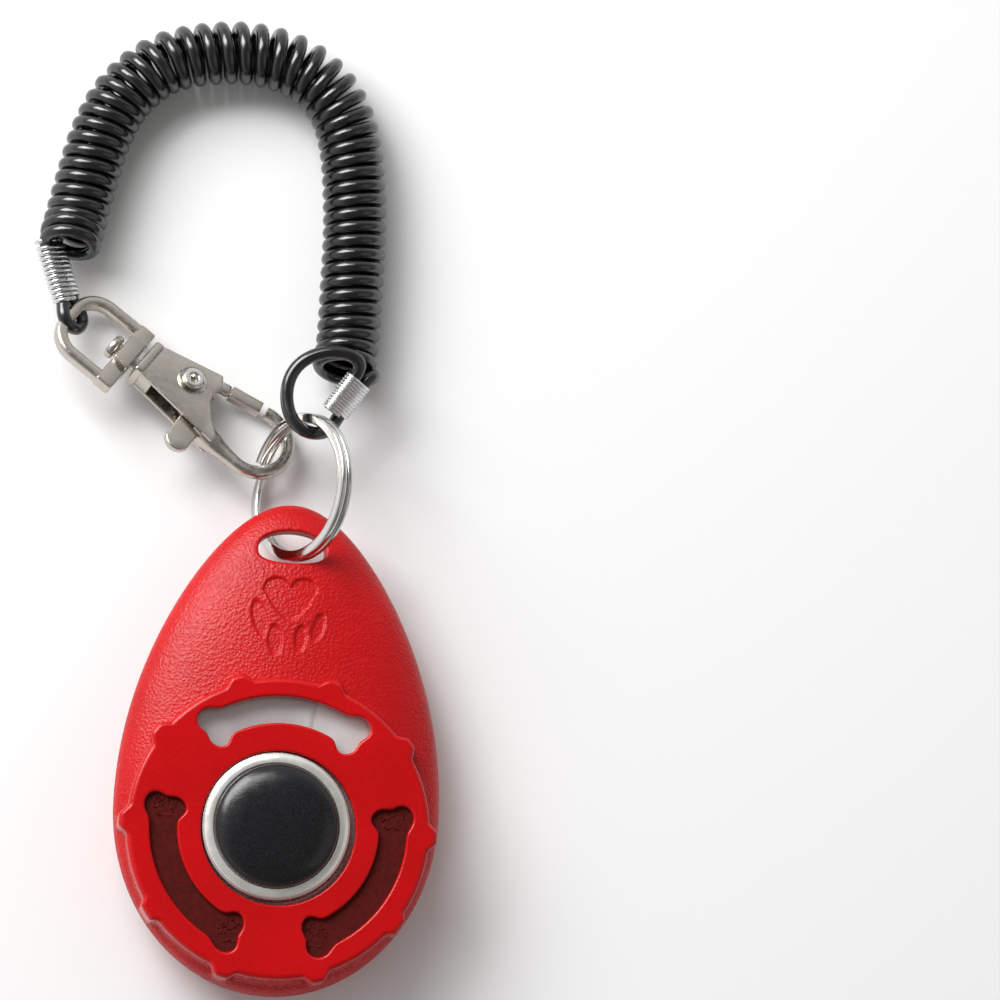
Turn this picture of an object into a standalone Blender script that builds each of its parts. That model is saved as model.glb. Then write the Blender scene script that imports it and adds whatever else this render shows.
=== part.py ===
"""Clicker trainer: an egg-shaped two-part case with a sprung click plate and a push button, a split
ring in its eyelet, a curly wrist coil with a cord loop at each end, and a swivel trigger clasp.

Lengths are written in millimetres and turned into metres by MM. The origin is on the back rest face
under the middle of the platform, +Y points to the eyelet and +Z out of the front.
"""

import math

import bmesh
import bpy
import numpy as np
from mathutils import Matrix, Vector

MM = 0.001

# --- case -------------------------------------------------------------------------------------
EGG_HALF_WIDTH = 21.7
EGG_CENTRE_Y = 3.0
EGG_LOWER = 24.8
EGG_UPPER = 41.0
EGG_NARROWING = 0.205
BACK_DEPTH = 6.5
PARTING_GAP = 0.3
FRONT_HEIGHT = 7.0
FRONT_Z = BACK_DEPTH + PARTING_GAP
PLATFORM_Z = FRONT_Z + FRONT_HEIGHT
BACK_FLAT = 0.4
BACK_TAPER = (18.0, 38.0, 0.22)
WALL = 1.8
CAVITY_INSET = 1.9
CAVITY_UPPER = 28.4
RING_STEPS = 72
# --- platform on the front --------------------------------------------------------------------
PLATFORM_RADIUS = 20.1
KNOB_COUNT = 10
KNOB_PROUD = 1.05
KNOB_HALF_TOP = 2.6
KNOB_HALF_FOOT = 6.0
POCKET_RADIUS = 18.6
POCKET_Y = 0.8
POCKET_Z = PLATFORM_Z - WALL
BUTTON_HOLE_RADIUS = 10.25
BONE_RADIUS = 15.0
BONE_HALF_WIDTH = 1.75
BONE_HALF_ANGLE = 38.0
BONE_LOBE = 2.2
BONE_LOBE_OFFSET = 1.85
BONE_RECESS = 0.8
# --- eyelet -----------------------------------------------------------------------------------
EYELET_Y = 37.6
EYELET_HALF_WIDTH = 4.5
EYELET_ABOVE = 2.6
EYELET_BELOW = 1.8
# --- paw print --------------------------------------------------------------------------------
PAW_DEPTH = 0.35
PAW_Y = 30.4
# --- click plate and button -------------------------------------------------------------------
PLAY_X = -0.28
PLAY_Y = 0.28
PLATE_Z = 11.0
PLATE_THICK = 0.4
PLATE_HALF_WIDTH = 11.8
PLATE_RADIUS = 17.9
CLAMP_YS = (-15.6, 17.8)
CUP_RADIUS = 9.55
CUP_TOP = 14.1
CUP_LIP = 1.15
CUP_FLOOR = 13.6
BUTTON_RADIUS = 8.05
BUTTON_BASE = 13.9
BUTTON_TOP = 16.2
BUTTON_SHOULDER = 1.5
STEM_RADIUS = 1.4
STEM_END = 11.4
GAP = 0.3
# --- screws -----------------------------------------------------------------------------------
SCREW_SPOTS = ((0.0, 27.2, 4.6, 11.0), (15.0, -9.0, 3.8, 11.3), (-15.0, -9.0, 3.8, 11.3))
SCREW_RADIUS = 1.1
SCREW_HEAD_RADIUS = 2.0
SCREW_HEAD_HEIGHT = 1.3
BOSS_RADIUS = 2.4
# --- split ring -------------------------------------------------------------------------------
RING_CENTRE = (0.75, 46.25, 9.0)
RING_TILT = 55.0
RING_RADIUS = 9.3
RING_WIRE = (1.4, 0.82)
RING_PITCH = 0.98
RING_END_GAP = 24.0
RING_PIVOT = (0.75, 37.8, 6.5)
# --- clasp ------------------------------------------------------------------------------------
CLASP_AT = (-14.8, 59.6, 3.45)
CLASP_HEADING = -36.0
CLASP_ROLL = 25.0
SWIVEL_T = -2.6
BODY_THICK = 3.8
SLOT_THICK = 2.6
LEAF_THICK = 1.1
HOOK_THICK = 1.8
HOOK_CENTRE = (11.5, 0.0)
HOOK_RADIUS = 4.75
HOOK_WIDTH = 1.7
EYE_START = -7.7
EYE_END = -19.0
EYE_HALF_WIDTH = 5.6
EYE_SHIFT = -0.5
EYE_WIRE = 1.7
EYE_BASE = 2.4
EYE_THICK = 2.0
EYE_CORNER = 4.2
# --- cord -------------------------------------------------------------------------------------
CORD = 1.85
CORD_GAP = 0.6
COIL_RADIUS = 4.3
COIL_Z = 4.32
COIL_LAY = (
    (-31.4, 79.2), (-30.2, 86.0), (-28.3, 93.4), (-25.2, 99.2), (-19.6, 103.6), (-10.5, 105.4),
    (-3.0, 104.1), (2.2, 100.2), (5.0, 94.0), (6.2, 84.0), (6.3, 74.0), (6.0, 64.3),
)
RING_SLEEVE = ((5.9, 56.9, 8.1), (9.7, 62.0, 8.9))
RING_LOOP_LAY = (
    (4.7, 55.0, 7.7), (3.5, 53.7, 9.3), (1.3, 53.3, 10.6), (-0.8, 54.5, 10.7), (-1.8, 56.8, 10.3),
    (-2.0, 59.1, 10.3), (-1.6, 61.5, 10.5), (0.4, 64.5, 10.6), (3.6, 66.0, 10.7), (7.2, 66.0, 10.7),
)
EYE_SLEEVE_LENGTH = 7.3
EYE_SLEEVE_HEADING = (0.467, -0.884)
EYE_PAIR_TILT = 47.0
SLEEVE_WIRE = 0.45


def material(name, colour, metallic=0.0, roughness=0.5):
    made = bpy.data.materials.new(name)
    made.use_nodes = True
    shader = made.node_tree.nodes["Principled BSDF"]
    shader.inputs["Base Color"].default_value = (*colour, 1.0)
    shader.inputs["Metallic"].default_value = metallic
    shader.inputs["Roughness"].default_value = roughness
    return made


def add_object(name, data, paint, matrix=None):
    data.materials.clear()
    data.materials.append(paint)
    made = bpy.data.objects.new(name, data)
    bpy.context.scene.collection.objects.link(made)
    if matrix is not None:
        made.matrix_world = matrix
    return made


def mesh_from(name, verts, faces):
    """A closed mesh in metres from millimetre points, its faces turned outward."""
    data = bpy.data.meshes.new(name)
    data.from_pydata([tuple(c * MM for c in v) for v in verts], [], faces)
    shape = bmesh.new()
    shape.from_mesh(data)
    bmesh.ops.recalc_face_normals(shape, faces=shape.faces)
    shape.to_mesh(data)
    shape.free()
    return data


def prism(name, outline, low, high):
    """A straight-sided solid over a plane outline."""
    count = len(outline)
    verts = [(x, y, low) for x, y in outline] + [(x, y, high) for x, y in outline]
    faces = [tuple(range(count)), tuple(range(count, 2 * count))]
    for i in range(count):
        j = (i + 1) % count
        faces.append((i, j, count + j, count + i))
    return mesh_from(name, verts, faces)


def revolve(name, profile, steps=48, centre=(0.0, 0.0)):
    """A solid of revolution; profile points are (radius, z), radius 0 only at the two ends."""
    verts = []
    rows = []
    for radius, z in profile:
        if radius == 0.0:
            rows.append([len(verts)] * steps)
            verts.append((centre[0], centre[1], z))
            continue
        rows.append(list(range(len(verts), len(verts) + steps)))
        for i in range(steps):
            turn = 2.0 * math.pi * i / steps
            verts.append((centre[0] + radius * math.cos(turn), centre[1] + radius * math.sin(turn), z))
    closed = profile[0][0] != 0.0
    pairs = list(zip(rows, rows[1:] + rows[:1])) if closed else list(zip(rows, rows[1:]))
    faces = []
    for lower, upper in pairs:
        for i in range(steps):
            j = (i + 1) % steps
            corners = [lower[i], lower[j], upper[j], upper[i]]
            face = [c for k, c in enumerate(corners) if c not in corners[:k]]
            if len(face) > 2:
                faces.append(tuple(face))
    return mesh_from(name, verts, faces)


def circle(radius, x=0.0, y=0.0, steps=32, start=0.0, end=360.0):
    """Points round a circle; a part turn includes both its ends."""
    whole = abs(end - start) >= 360.0
    count = steps if whole else steps + 1
    turns = [math.radians(start + (end - start) * i / steps) for i in range(count)]
    return [(x + radius * math.cos(t), y + radius * math.sin(t)) for t in turns]


def combine(target, data, operation):
    """Adds a mesh to an object or cuts it away, and keeps the result as plain mesh."""
    tool = bpy.data.objects.new("tool", data)
    bpy.context.scene.collection.objects.link(tool)
    tool.matrix_world = target.matrix_world
    step = target.modifiers.new("step", "BOOLEAN")
    step.operation = operation
    step.solver = "EXACT"
    step.object = tool
    bpy.context.view_layer.update()
    graph = bpy.context.evaluated_depsgraph_get()
    result = bpy.data.meshes.new_from_object(target.evaluated_get(graph))
    target.modifiers.clear()
    target.data = result
    bpy.data.objects.remove(tool, do_unlink=True)


def cut(target, data):
    combine(target, data, "DIFFERENCE")


def join(target, data):
    combine(target, data, "UNION")


def egg_point(turn, half_width=EGG_HALF_WIDTH, lower=EGG_LOWER, upper=EGG_UPPER):
    """A point of the case outline, narrowed toward the eyelet."""
    rise = math.sin(turn)
    x = half_width * math.cos(turn) * (1.0 - EGG_NARROWING * max(0.0, rise) ** 2)
    return x, EGG_CENTRE_Y + (upper if rise > 0.0 else lower) * rise


def egg_reach(x, y):
    """How far out a point lies between the middle (0) and the case outline (1)."""
    turns = np.linspace(-math.pi, math.pi, 721)
    points = np.array([egg_point(t) for t in turns])
    angles = np.arctan2(points[:, 1], points[:, 0])
    order = np.argsort(angles)
    radii = np.hypot(points[:, 0], points[:, 1])[order]
    edge = np.interp(math.atan2(y, x), angles[order], radii)
    return min(1.0, math.hypot(x, y) / edge)


def smooth_step(value, low, high):
    share = min(1.0, max(0.0, (value - low) / (high - low)))
    return share * share * (3.0 - 2.0 * share)


def front_surface(x, y):
    return FRONT_Z + FRONT_HEIGHT * math.sqrt(1.0 - egg_reach(x, y) ** 2)


def back_surface(x, y):
    """The back is flat in the middle, rounded to the edge, and shallow at the eyelet."""
    out = max(0.0, (egg_reach(x, y) - BACK_FLAT) / (1.0 - BACK_FLAT))
    start, end, left = BACK_TAPER
    taper = 1.0 - (1.0 - left) * smooth_step(y, start, end)
    return BACK_DEPTH * (1.0 - taper * math.sqrt(max(0.0, 1.0 - out**2.5)))


def bowl(name, outline, surface, rim_z, rings=9):
    """A solid between a flat face at rim_z and a curved surface over the outline."""
    shares = [math.sin(math.radians(90.0 * (k + 1) / rings)) for k in range(rings)]
    verts = [(0.0, 0.0, surface(0.0, 0.0))]
    rows = []
    for share in shares:
        rows.append(list(range(len(verts), len(verts) + len(outline))))
        for x, y in outline:
            last = share == shares[-1]
            verts.append((x * share, y * share, rim_z if last else surface(x * share, y * share)))
    count = len(outline)
    faces = [(0, rows[0][i], rows[0][(i + 1) % count]) for i in range(count)]
    for inner, outer in zip(rows, rows[1:]):
        for i in range(count):
            j = (i + 1) % count
            faces.append((inner[i], inner[j], outer[j], outer[i]))
    faces.append(tuple(rows[-1]))
    return mesh_from(name, verts, faces)


def egg_outline(**sizes):
    return [egg_point(2.0 * math.pi * i / RING_STEPS, **sizes) for i in range(RING_STEPS)]


def cavity_outline():
    return egg_outline(
        half_width=EGG_HALF_WIDTH - CAVITY_INSET, lower=EGG_LOWER - CAVITY_INSET, upper=CAVITY_UPPER
    )


def deep_bowl(name, surface, far_z):
    """A cavity solid: the curved ceiling or floor, with straight walls out through the parting."""
    outline = cavity_outline()
    data = bowl(name, outline, surface, surface(*outline[0]))
    shape = bmesh.new()
    shape.from_mesh(data)
    rim = max(shape.faces, key=lambda face: len(face.verts))
    for vert in rim.verts:
        vert.co.z = far_z * MM
    shape.to_mesh(data)
    shape.free()
    return data


def platform_outline():
    """The round platform with its evenly spaced rim knobs, kept inside the case outline."""
    pitch = 360.0 / KNOB_COUNT
    spots = []
    for k in range(KNOB_COUNT):
        middle = k * pitch
        spots += [(middle - KNOB_HALF_FOOT, 0.0), (middle - KNOB_HALF_TOP, KNOB_PROUD)]
        spots += [(middle + KNOB_HALF_TOP, KNOB_PROUD), (middle + KNOB_HALF_FOOT, 0.0)]
        spots += [(middle + KNOB_HALF_FOOT + step, 0.0) for step in (6.0, 12.0, 18.0)]
    outline = []
    for angle, proud in spots:
        turn = math.radians(angle)
        x = (PLATFORM_RADIUS + proud) * math.cos(turn)
        y = (PLATFORM_RADIUS + proud) * math.sin(turn)
        reach = egg_reach(x, y)
        limit = 0.995 if reach > 0.995 else reach
        outline.append((x * limit / reach, y * limit / reach))
    return outline


def bone_outline(middle):
    """A curved bone: a band along an arc with two round lobes at each end."""
    half_length = math.radians(BONE_HALF_ANGLE) * BONE_RADIUS
    meet = math.degrees(math.asin(BONE_LOBE_OFFSET / BONE_LOBE))
    foot = math.degrees(math.asin((BONE_LOBE_OFFSET - BONE_HALF_WIDTH) / BONE_LOBE))
    right_top = circle(BONE_LOBE, half_length, BONE_LOBE_OFFSET, 12, 180.0 + foot, -meet)
    right_low = [(p, -q) for p, q in reversed(right_top)]
    left_low = [(-p, q) for p, q in reversed(right_low)]
    left_top = [(-p, q) for p, q in reversed(right_top)]
    steps = [half_length * (i / 4.0 - 1.0) * 0.6 for i in range(9)]
    top_edge = [(p, BONE_HALF_WIDTH) for p in steps]
    low_edge = [(p, -BONE_HALF_WIDTH) for p in reversed(steps)]
    flat = top_edge + right_top + right_low[1:] + low_edge + left_low + left_top[1:]
    outline = []
    for p, q in flat:
        turn = math.radians(middle) - p / BONE_RADIUS
        radius = BONE_RADIUS + q
        outline.append((radius * math.cos(turn), radius * math.sin(turn)))
    return outline


def eyelet_outline():
    outline = []
    for x, y in circle(1.0, steps=36):
        if y > 0.0:
            outline.append((EYELET_HALF_WIDTH * x, EYELET_Y + EYELET_ABOVE * y**0.85))
        else:
            flat = math.copysign(abs(x) ** 0.8, x)
            outline.append((EYELET_HALF_WIDTH * flat, EYELET_Y - EYELET_BELOW * abs(y) ** 0.75))
    return outline


def paw_outlines():
    """A generic paw print: a heart-like pad and four long toes, toes toward the button."""
    pad = []
    for x, y in circle(1.0, steps=28):
        pull = 0.3 * max(0.0, y) ** 3 * (1.0 - abs(x)) * 2.4
        pad.append((3.5 * x * (1.0 + 0.12 * y), PAW_Y + 3.1 * y - 3.1 * pull + 0.4))
    toes = [(-3.9, -2.4, 1.0, 2.5), (-1.8, -5.2, 0.95, 2.0)]
    toes += [(1.6, -4.9, 0.75, 1.8), (4.0, -3.2, 0.7, 1.8)]
    shapes = [pad]
    for x, y, wide, tall in toes:
        shapes.append([(x + wide * cx, PAW_Y + y + tall * cy) for cx, cy in circle(1.0, steps=14)])
    return shapes


def make_front_shell(paint):
    data = bowl("front_shell", egg_outline(), front_surface, FRONT_Z)
    shell = add_object("front_shell", data, paint)
    join(shell, prism("platform", platform_outline(), FRONT_Z + 0.6, PLATFORM_Z))
    cut(shell, deep_bowl("cavity", lambda x, y: front_surface(x, y) - WALL, FRONT_Z - 2.0))
    cut(shell, prism("pocket", circle(POCKET_RADIUS, 0.0, POCKET_Y, 60), FRONT_Z - 1.0, POCKET_Z))
    for x, y, _, pilot_top in SCREW_SPOTS:
        join(shell, prism("boss", circle(BOSS_RADIUS, x, y, 24), FRONT_Z, POCKET_Z + 0.2))
        cut(shell, prism("pilot", circle(SCREW_RADIUS + GAP, x, y, 20), FRONT_Z - 1.0, pilot_top + GAP))
    for y in CLAMP_YS:
        rib = [(-4.0, y - 0.6), (4.0, y - 0.6), (4.0, y + 0.6), (-4.0, y + 0.6)]
        join(shell, prism("rib", rib, PLATE_Z + PLATE_THICK + GAP, POCKET_Z + 0.2))
    cut(shell, prism("hole", circle(BUTTON_HOLE_RADIUS, steps=60), POCKET_Z - 1.0, PLATFORM_Z + 1.0))
    cut(shell, prism("window", bone_outline(90.0), POCKET_Z - 0.2, PLATFORM_Z + 1.0))
    for middle in (210.0, 330.0):
        cut(shell, prism("recess", bone_outline(middle), PLATFORM_Z - BONE_RECESS, PLATFORM_Z + 1.0))
    for outline in paw_outlines():
        middle_x = sum(x for x, _ in outline) / len(outline)
        middle_y = sum(y for _, y in outline) / len(outline)
        floor = front_surface(middle_x, middle_y) - PAW_DEPTH
        cut(shell, prism("print", outline, floor, PLATFORM_Z + 1.0))
    cut(shell, prism("eyelet", eyelet_outline(), FRONT_Z - 1.0, PLATFORM_Z + 1.0))
    return shell


def make_back_shell(paint):
    data = bowl("back_shell", egg_outline(), back_surface, BACK_DEPTH)
    shell = add_object("back_shell", data, paint)
    cut(shell, deep_bowl("cavity", lambda x, y: back_surface(x, y) + WALL, BACK_DEPTH + 4.0))
    for x, y, seat, _ in SCREW_SPOTS:
        join(shell, prism("boss", circle(BOSS_RADIUS, x, y, 24), seat - 0.4, BACK_DEPTH))
        cut(shell, prism("pocket", circle(SCREW_HEAD_RADIUS + GAP, x, y, 20), -1.0, seat))
        cut(shell, prism("way", circle(SCREW_RADIUS + GAP, x, y, 20), seat - 1.0, BACK_DEPTH + 1.0))
    for y in CLAMP_YS:
        rib = [(-4.0, y - 0.7), (4.0, y - 0.7), (4.0, y + 0.7), (-4.0, y + 0.7)]
        join(shell, prism("rib", rib, WALL - 0.6, PLATE_Z - GAP))
    cut(shell, prism("eyelet", eyelet_outline(), -1.0, BACK_DEPTH + 1.0))
    return shell


def play_matrix():
    """The click plate and the button sit a little off the middle, within their play."""
    return Matrix.Translation((PLAY_X * MM, PLAY_Y * MM, 0.0))


def make_click_plate(paint):
    """A sprung sheet with a raised round cup; the cup's lip shows as a ring round the button."""
    flat = math.degrees(math.acos(PLATE_HALF_WIDTH / PLATE_RADIUS))
    outline = circle(PLATE_RADIUS, 0.0, POCKET_Y, 16, flat, 180.0 - flat)
    outline += circle(PLATE_RADIUS, 0.0, POCKET_Y, 16, 180.0 + flat, 360.0 - flat)
    data = prism("click_plate", outline, PLATE_Z, PLATE_Z + PLATE_THICK)
    plate = add_object("click_plate", data, paint, play_matrix())
    inner = CUP_RADIUS - PLATE_THICK
    cut(plate, prism("opening", circle(inner - 0.1, steps=60), PLATE_Z - 1.0, PLATE_Z + 1.0))
    floor_low = CUP_FLOOR - PLATE_THICK
    lip_in = CUP_RADIUS - CUP_LIP
    cup = [(inner, PLATE_Z), (CUP_RADIUS, PLATE_Z + 0.01), (CUP_RADIUS, CUP_TOP - 0.2)]
    cup += [(CUP_RADIUS - 0.2, CUP_TOP), (lip_in, CUP_TOP), (lip_in - 0.1, CUP_FLOOR)]
    cup += [(STEM_RADIUS + GAP, CUP_FLOOR), (STEM_RADIUS + GAP, floor_low), (inner, floor_low)]
    join(plate, revolve("cup", cup, 60))
    return plate


def make_button(paint):
    profile = [(0.0, STEM_END), (STEM_RADIUS - 0.2, STEM_END), (STEM_RADIUS, STEM_END + 0.2)]
    profile += [(STEM_RADIUS, BUTTON_BASE), (BUTTON_RADIUS, BUTTON_BASE)]
    crown = BUTTON_TOP - 0.5
    for k in range(6):
        turn = math.radians(90.0 * k / 5.0)
        radius = BUTTON_RADIUS - BUTTON_SHOULDER * (1.0 - math.cos(turn))
        profile.append((radius, crown - BUTTON_SHOULDER * (1.0 - math.sin(turn))))
    profile += [(4.0, BUTTON_TOP - 0.15), (0.0, BUTTON_TOP)]
    return add_object("button", revolve("button", profile), paint, play_matrix())


def make_retainer(paint):
    top = CUP_FLOOR - PLATE_THICK - GAP
    inner = STEM_RADIUS + GAP
    profile = [(inner, top - 0.7), (3.6, top - 0.7), (3.6, top), (inner, top)]
    return add_object("button_retainer", revolve("button_retainer", profile, 32), paint, play_matrix())


def make_screws(paint):
    for number, (x, y, seat, tip) in enumerate(SCREW_SPOTS, 1):
        under = seat - GAP
        profile = [(0.0, under - SCREW_HEAD_HEIGHT + 0.5), (0.5, under - SCREW_HEAD_HEIGHT + 0.5)]
        profile += [(0.6, under - SCREW_HEAD_HEIGHT), (1.6, under - SCREW_HEAD_HEIGHT)]
        profile += [(SCREW_HEAD_RADIUS, under - SCREW_HEAD_HEIGHT + 0.4), (SCREW_HEAD_RADIUS, under)]
        profile += [(SCREW_RADIUS, under), (SCREW_RADIUS, tip - 0.8), (0.4, tip), (0.0, tip)]
        data = revolve(f"case_screw_{number}", profile, 20)
        add_object(f"case_screw_{number}", data, paint, Matrix.Translation((x * MM, y * MM, 0.0)))


def sweep(name, places, section):
    """A solid swept through (point, side, up) frames with one plane section, capped at both ends."""
    verts = []
    for point, side, up in places:
        verts += [tuple(point + side * a + up * b) for a, b in section]
    count = len(section)
    faces = [tuple(range(count)), tuple(range(len(verts) - count, len(verts)))]
    for k in range(len(places) - 1):
        for i in range(count):
            j = (i + 1) % count
            base = k * count
            faces.append((base + i, base + j, base + count + j, base + count + i))
    return mesh_from(name, verts, faces)


def ring_matrix():
    """The ring's own frame: its plane is tilted about Y, its right side up."""
    tilt = Matrix.Rotation(math.radians(-RING_TILT), 4, "Y")
    return Matrix.Translation(Vector(RING_CENTRE) * MM) @ tilt


def make_split_ring(paint):
    """Two flat turns of wire with one step between them where the ends lie."""
    places = []
    start = 180.0 + RING_END_GAP
    end = 180.0 + 720.0 - RING_END_GAP
    count = 84
    for k in range(count + 1):
        angle = start + (end - start) * k / count
        rise = smooth_step(angle, 540.0 - RING_END_GAP, 540.0 + RING_END_GAP) - 0.5
        turn = math.radians(angle)
        out = Vector((math.cos(turn), math.sin(turn), 0.0))
        point = out * RING_RADIUS + Vector((0.0, 0.0, rise * RING_PITCH))
        places.append((point, out, Vector((0.0, 0.0, 1.0))))
    wide, tall = RING_WIRE[0] / 2.0, RING_WIRE[1] / 2.0
    section = [(-wide, -tall), (wide, -tall), (wide, tall), (-wide, tall)]
    return add_object("split_ring", sweep("split_ring", places, section), paint, ring_matrix())


def clasp_matrix():
    """The clasp's own frame: X along it to the hook, Y to the gate side, origin on its rivet."""
    place = Matrix.Translation(Vector(CLASP_AT) * MM)
    heading = Matrix.Rotation(math.radians(CLASP_HEADING), 4, "Z")
    return place @ heading @ Matrix.Rotation(math.radians(-CLASP_ROLL), 4, "X")


def eye_outlines():
    """Outer and inner outline of the swivel eye."""
    middle = SWIVEL_T + EYE_SHIFT
    shapes = []
    for inset, start in ((0.0, EYE_START), (EYE_WIRE, EYE_START - EYE_BASE)):
        half = EYE_HALF_WIDTH - inset
        corner = EYE_CORNER - inset
        far = EYE_END + inset + corner
        outline = [(start, middle - half), (start, middle + half)]
        outline += circle(corner, far, middle + half - corner, 8, 90.0, 180.0)
        outline += circle(corner, far, middle - half + corner, 8, 180.0, 270.0)
        shapes.append(outline)
    return shapes


def along_x(data, x, y):
    """Turns a mesh of revolution about Z to lie along X through (x, y)."""
    turn = Matrix.Translation((x * MM, y * MM, 0.0)) @ Matrix.Rotation(math.radians(90.0), 4, "Y")
    data.transform(turn)
    return data


def make_swivel_eye(paint):
    outer, inner = eye_outlines()
    half = EYE_THICK / 2.0
    eye = add_object("swivel_eye", prism("swivel_eye", outer, -half, half), paint, clasp_matrix())
    cut(eye, prism("opening", inner, -half - 1.0, half + 1.0))
    block = [(EYE_START, SWIVEL_T - 2.6), (EYE_START, SWIVEL_T + 2.6)]
    block += [(EYE_START - EYE_BASE, SWIVEL_T + 2.2), (EYE_START - EYE_BASE, SWIVEL_T - 2.2)]
    join(eye, prism("block", block, -1.9, 1.9))
    bore = revolve("bore", [(0.0, -2.0), (1.35, -2.0), (1.35, 2.0), (0.0, 2.0)], 24)
    cut(eye, along_x(bore, EYE_START - EYE_BASE / 2.0, SWIVEL_T))
    eye.data.transform(Matrix.Translation((0.0, -SWIVEL_T * MM, 0.0)))
    eye.matrix_world = clasp_matrix() @ Matrix.Translation((0.0, SWIVEL_T * MM, 0.0))
    return eye


def make_swivel_post(paint):
    """The peened post: a shank from the clasp through the eye's base, with a flat head."""
    length = 4.6
    profile = [(0.0, -length / 2.0), (1.5, -length / 2.0), (1.75, 0.3 - length / 2.0)]
    profile += [(1.75, 1.2 - length / 2.0), (1.05, 1.2 - length / 2.0)]
    profile += [(1.05, length / 2.0), (0.0, length / 2.0)]
    data = along_x(revolve("swivel_post", profile, 24), -9.35, SWIVEL_T)
    return add_object("swivel_post", data, paint, clasp_matrix())


def hook_outline():
    """The hook as one strip from the body round to its tip, wider where it leaves the body."""
    x, y = HOOK_CENTRE
    outer = [(4.2, -5.3), (8.0, -5.65)] + circle(HOOK_RADIUS + HOOK_WIDTH / 2.0, x, y, 18, -100.0, 104.0)
    inner = circle(HOOK_RADIUS - HOOK_WIDTH / 2.0, x, y, 18, 104.0, -100.0) + [(8.0, -3.35), (5.6, -2.5)]
    return outer + inner + [(3.9, -0.9)]


def make_clasp_body(paint):
    half = BODY_THICK / 2.0
    plan = [(-5.9, -4.4), (5.2, -5.3), (8.6, -5.65), (8.6, -3.5), (5.8, -2.6), (4.0, -1.2)]
    plan += [(3.45, 0.2), (3.7, 1.6), (2.7, 3.7), (-5.9, 1.4)]
    body = add_object("clasp_body", prism("clasp_body", plan, -half, half), paint, clasp_matrix())
    join(body, prism("hook", hook_outline(), -HOOK_THICK / 2.0, HOOK_THICK / 2.0))
    collar = [(-7.0, -4.4), (-5.7, -4.4), (-5.7, 1.3), (-7.0, 1.3)]
    join(body, prism("collar", collar, -half - 0.35, half + 0.35))
    slot = [(-3.8, -7.0), (6.2, -7.0), (5.6, -3.0), (4.6, 0.0), (4.6, 4.4), (2.7, 4.4)]
    slot += [(1.4, 2.7), (-2.2, 2.2), (-3.8, 0.0)]
    cut(body, prism("slot", slot, -SLOT_THICK / 2.0, SLOT_THICK / 2.0))
    cut(body, prism("rivet_way", circle(1.05, steps=24), -half - 1.0, half + 1.0))
    bore = revolve("bore", [(0.0, -1.1), (1.35, -1.1), (1.35, 1.2), (0.0, 1.2)], 24)
    cut(body, along_x(bore, -6.2, SWIVEL_T))
    return body


def make_trigger(paint):
    """Gate and thumb lever in one leaf, turning on the rivet."""
    gate_turn = math.radians(12.0)
    along = Vector((math.cos(gate_turn), math.sin(gate_turn)))
    side = Vector((-along.y, along.x))
    start = Vector((3.4, 3.0))
    reach = 5.9
    gate = [start - side * 0.8, start + along * reach - side * 0.8]
    gate += [start + along * reach + side * 0.8, start + side * 0.7]
    plan = circle(1.75, 0.0, 0.0, 10, 115.0, 235.0) + [(1.7, -4.6)]
    plan += circle(1.75, 3.6, -7.9, 8, -160.0, 20.0) + [(5.35, -4.9), (2.0, 0.7), (3.2, 1.9)]
    plan += [tuple(p) for p in gate] + [(1.2, 2.0)]
    low = SLOT_THICK / 2.0 - GAP - LEAF_THICK
    data = prism("clasp_trigger", plan, low, low + LEAF_THICK)
    leaf = add_object("clasp_trigger", data, paint, clasp_matrix())
    cut(leaf, prism("rivet_way", circle(1.05, steps=24), -3.0, 3.0))
    return leaf


def make_clasp_rivet(paint):
    """A hollow rivet with a rolled flange on each side of the body."""
    face = BODY_THICK / 2.0 + GAP
    profile = [(0.55, -face - 0.5), (1.4, -face - 0.5), (1.6, -face - 0.25), (1.6, -face), (0.75, -face)]
    profile += [(0.75, face), (1.6, face), (1.6, face + 0.25), (1.4, face + 0.5), (0.55, face + 0.5)]
    return add_object("clasp_rivet", revolve("clasp_rivet", profile, 28), paint, clasp_matrix())


def make_trigger_spring(paint):
    """The torsion spring's turns as one sleeve on the rivet, beside the leaf."""
    low = GAP - SLOT_THICK / 2.0
    profile = [(1.05, low), (1.6, low), (1.6, low + 0.6), (1.05, low + 0.6)]
    return add_object("trigger_spring", revolve("trigger_spring", profile, 24), paint, clasp_matrix())


def smooth_path(points, steps):
    """A smooth curve through the points (Catmull-Rom), with the given steps per span."""
    ends = [points[0] * 2.0 - points[1]] + list(points) + [points[-1] * 2.0 - points[-2]]
    path = []
    for a, b, c, d in zip(ends, ends[1:], ends[2:], ends[3:]):
        for k in range(steps):
            t = k / steps
            path.append(
                0.5 * (b * 2.0 + (c - a) * t + (a * 2.0 - b * 5.0 + c * 4.0 - d) * t**2
                       + (b * 3.0 - a - c * 3.0 + d) * t**3)
            )
    return path + [points[-1]]


def tube(name, points, diameter, resolution, paint):
    """A round cord as one capped poly curve."""
    curve = bpy.data.curves.new(name, "CURVE")
    curve.dimensions = "3D"
    curve.bevel_depth = diameter / 2.0 * MM
    curve.bevel_resolution = resolution
    curve.use_fill_caps = True
    line = curve.splines.new("POLY")
    line.points.add(len(points) - 1)
    for spot, point in zip(line.points, points):
        spot.co = (point.x * MM, point.y * MM, point.z * MM, 1.0)
    return add_object(name, curve, paint)


def make_wrist_coil(paint):
    lay = [Vector((x, y, COIL_Z)) for x, y in COIL_LAY]
    return tube("wrist_coil", smooth_path(lay, 2), COIL_RADIUS * 2.0, 4, paint)


def sleeve_section(half_pair, half_width, steps=8):
    """A stadium section round two cords lying side by side."""
    straight = half_pair - half_width
    right = circle(half_width, straight, 0.0, steps, -90.0, 90.0)
    return right + [(-a, -b) for a, b in right]


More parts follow.
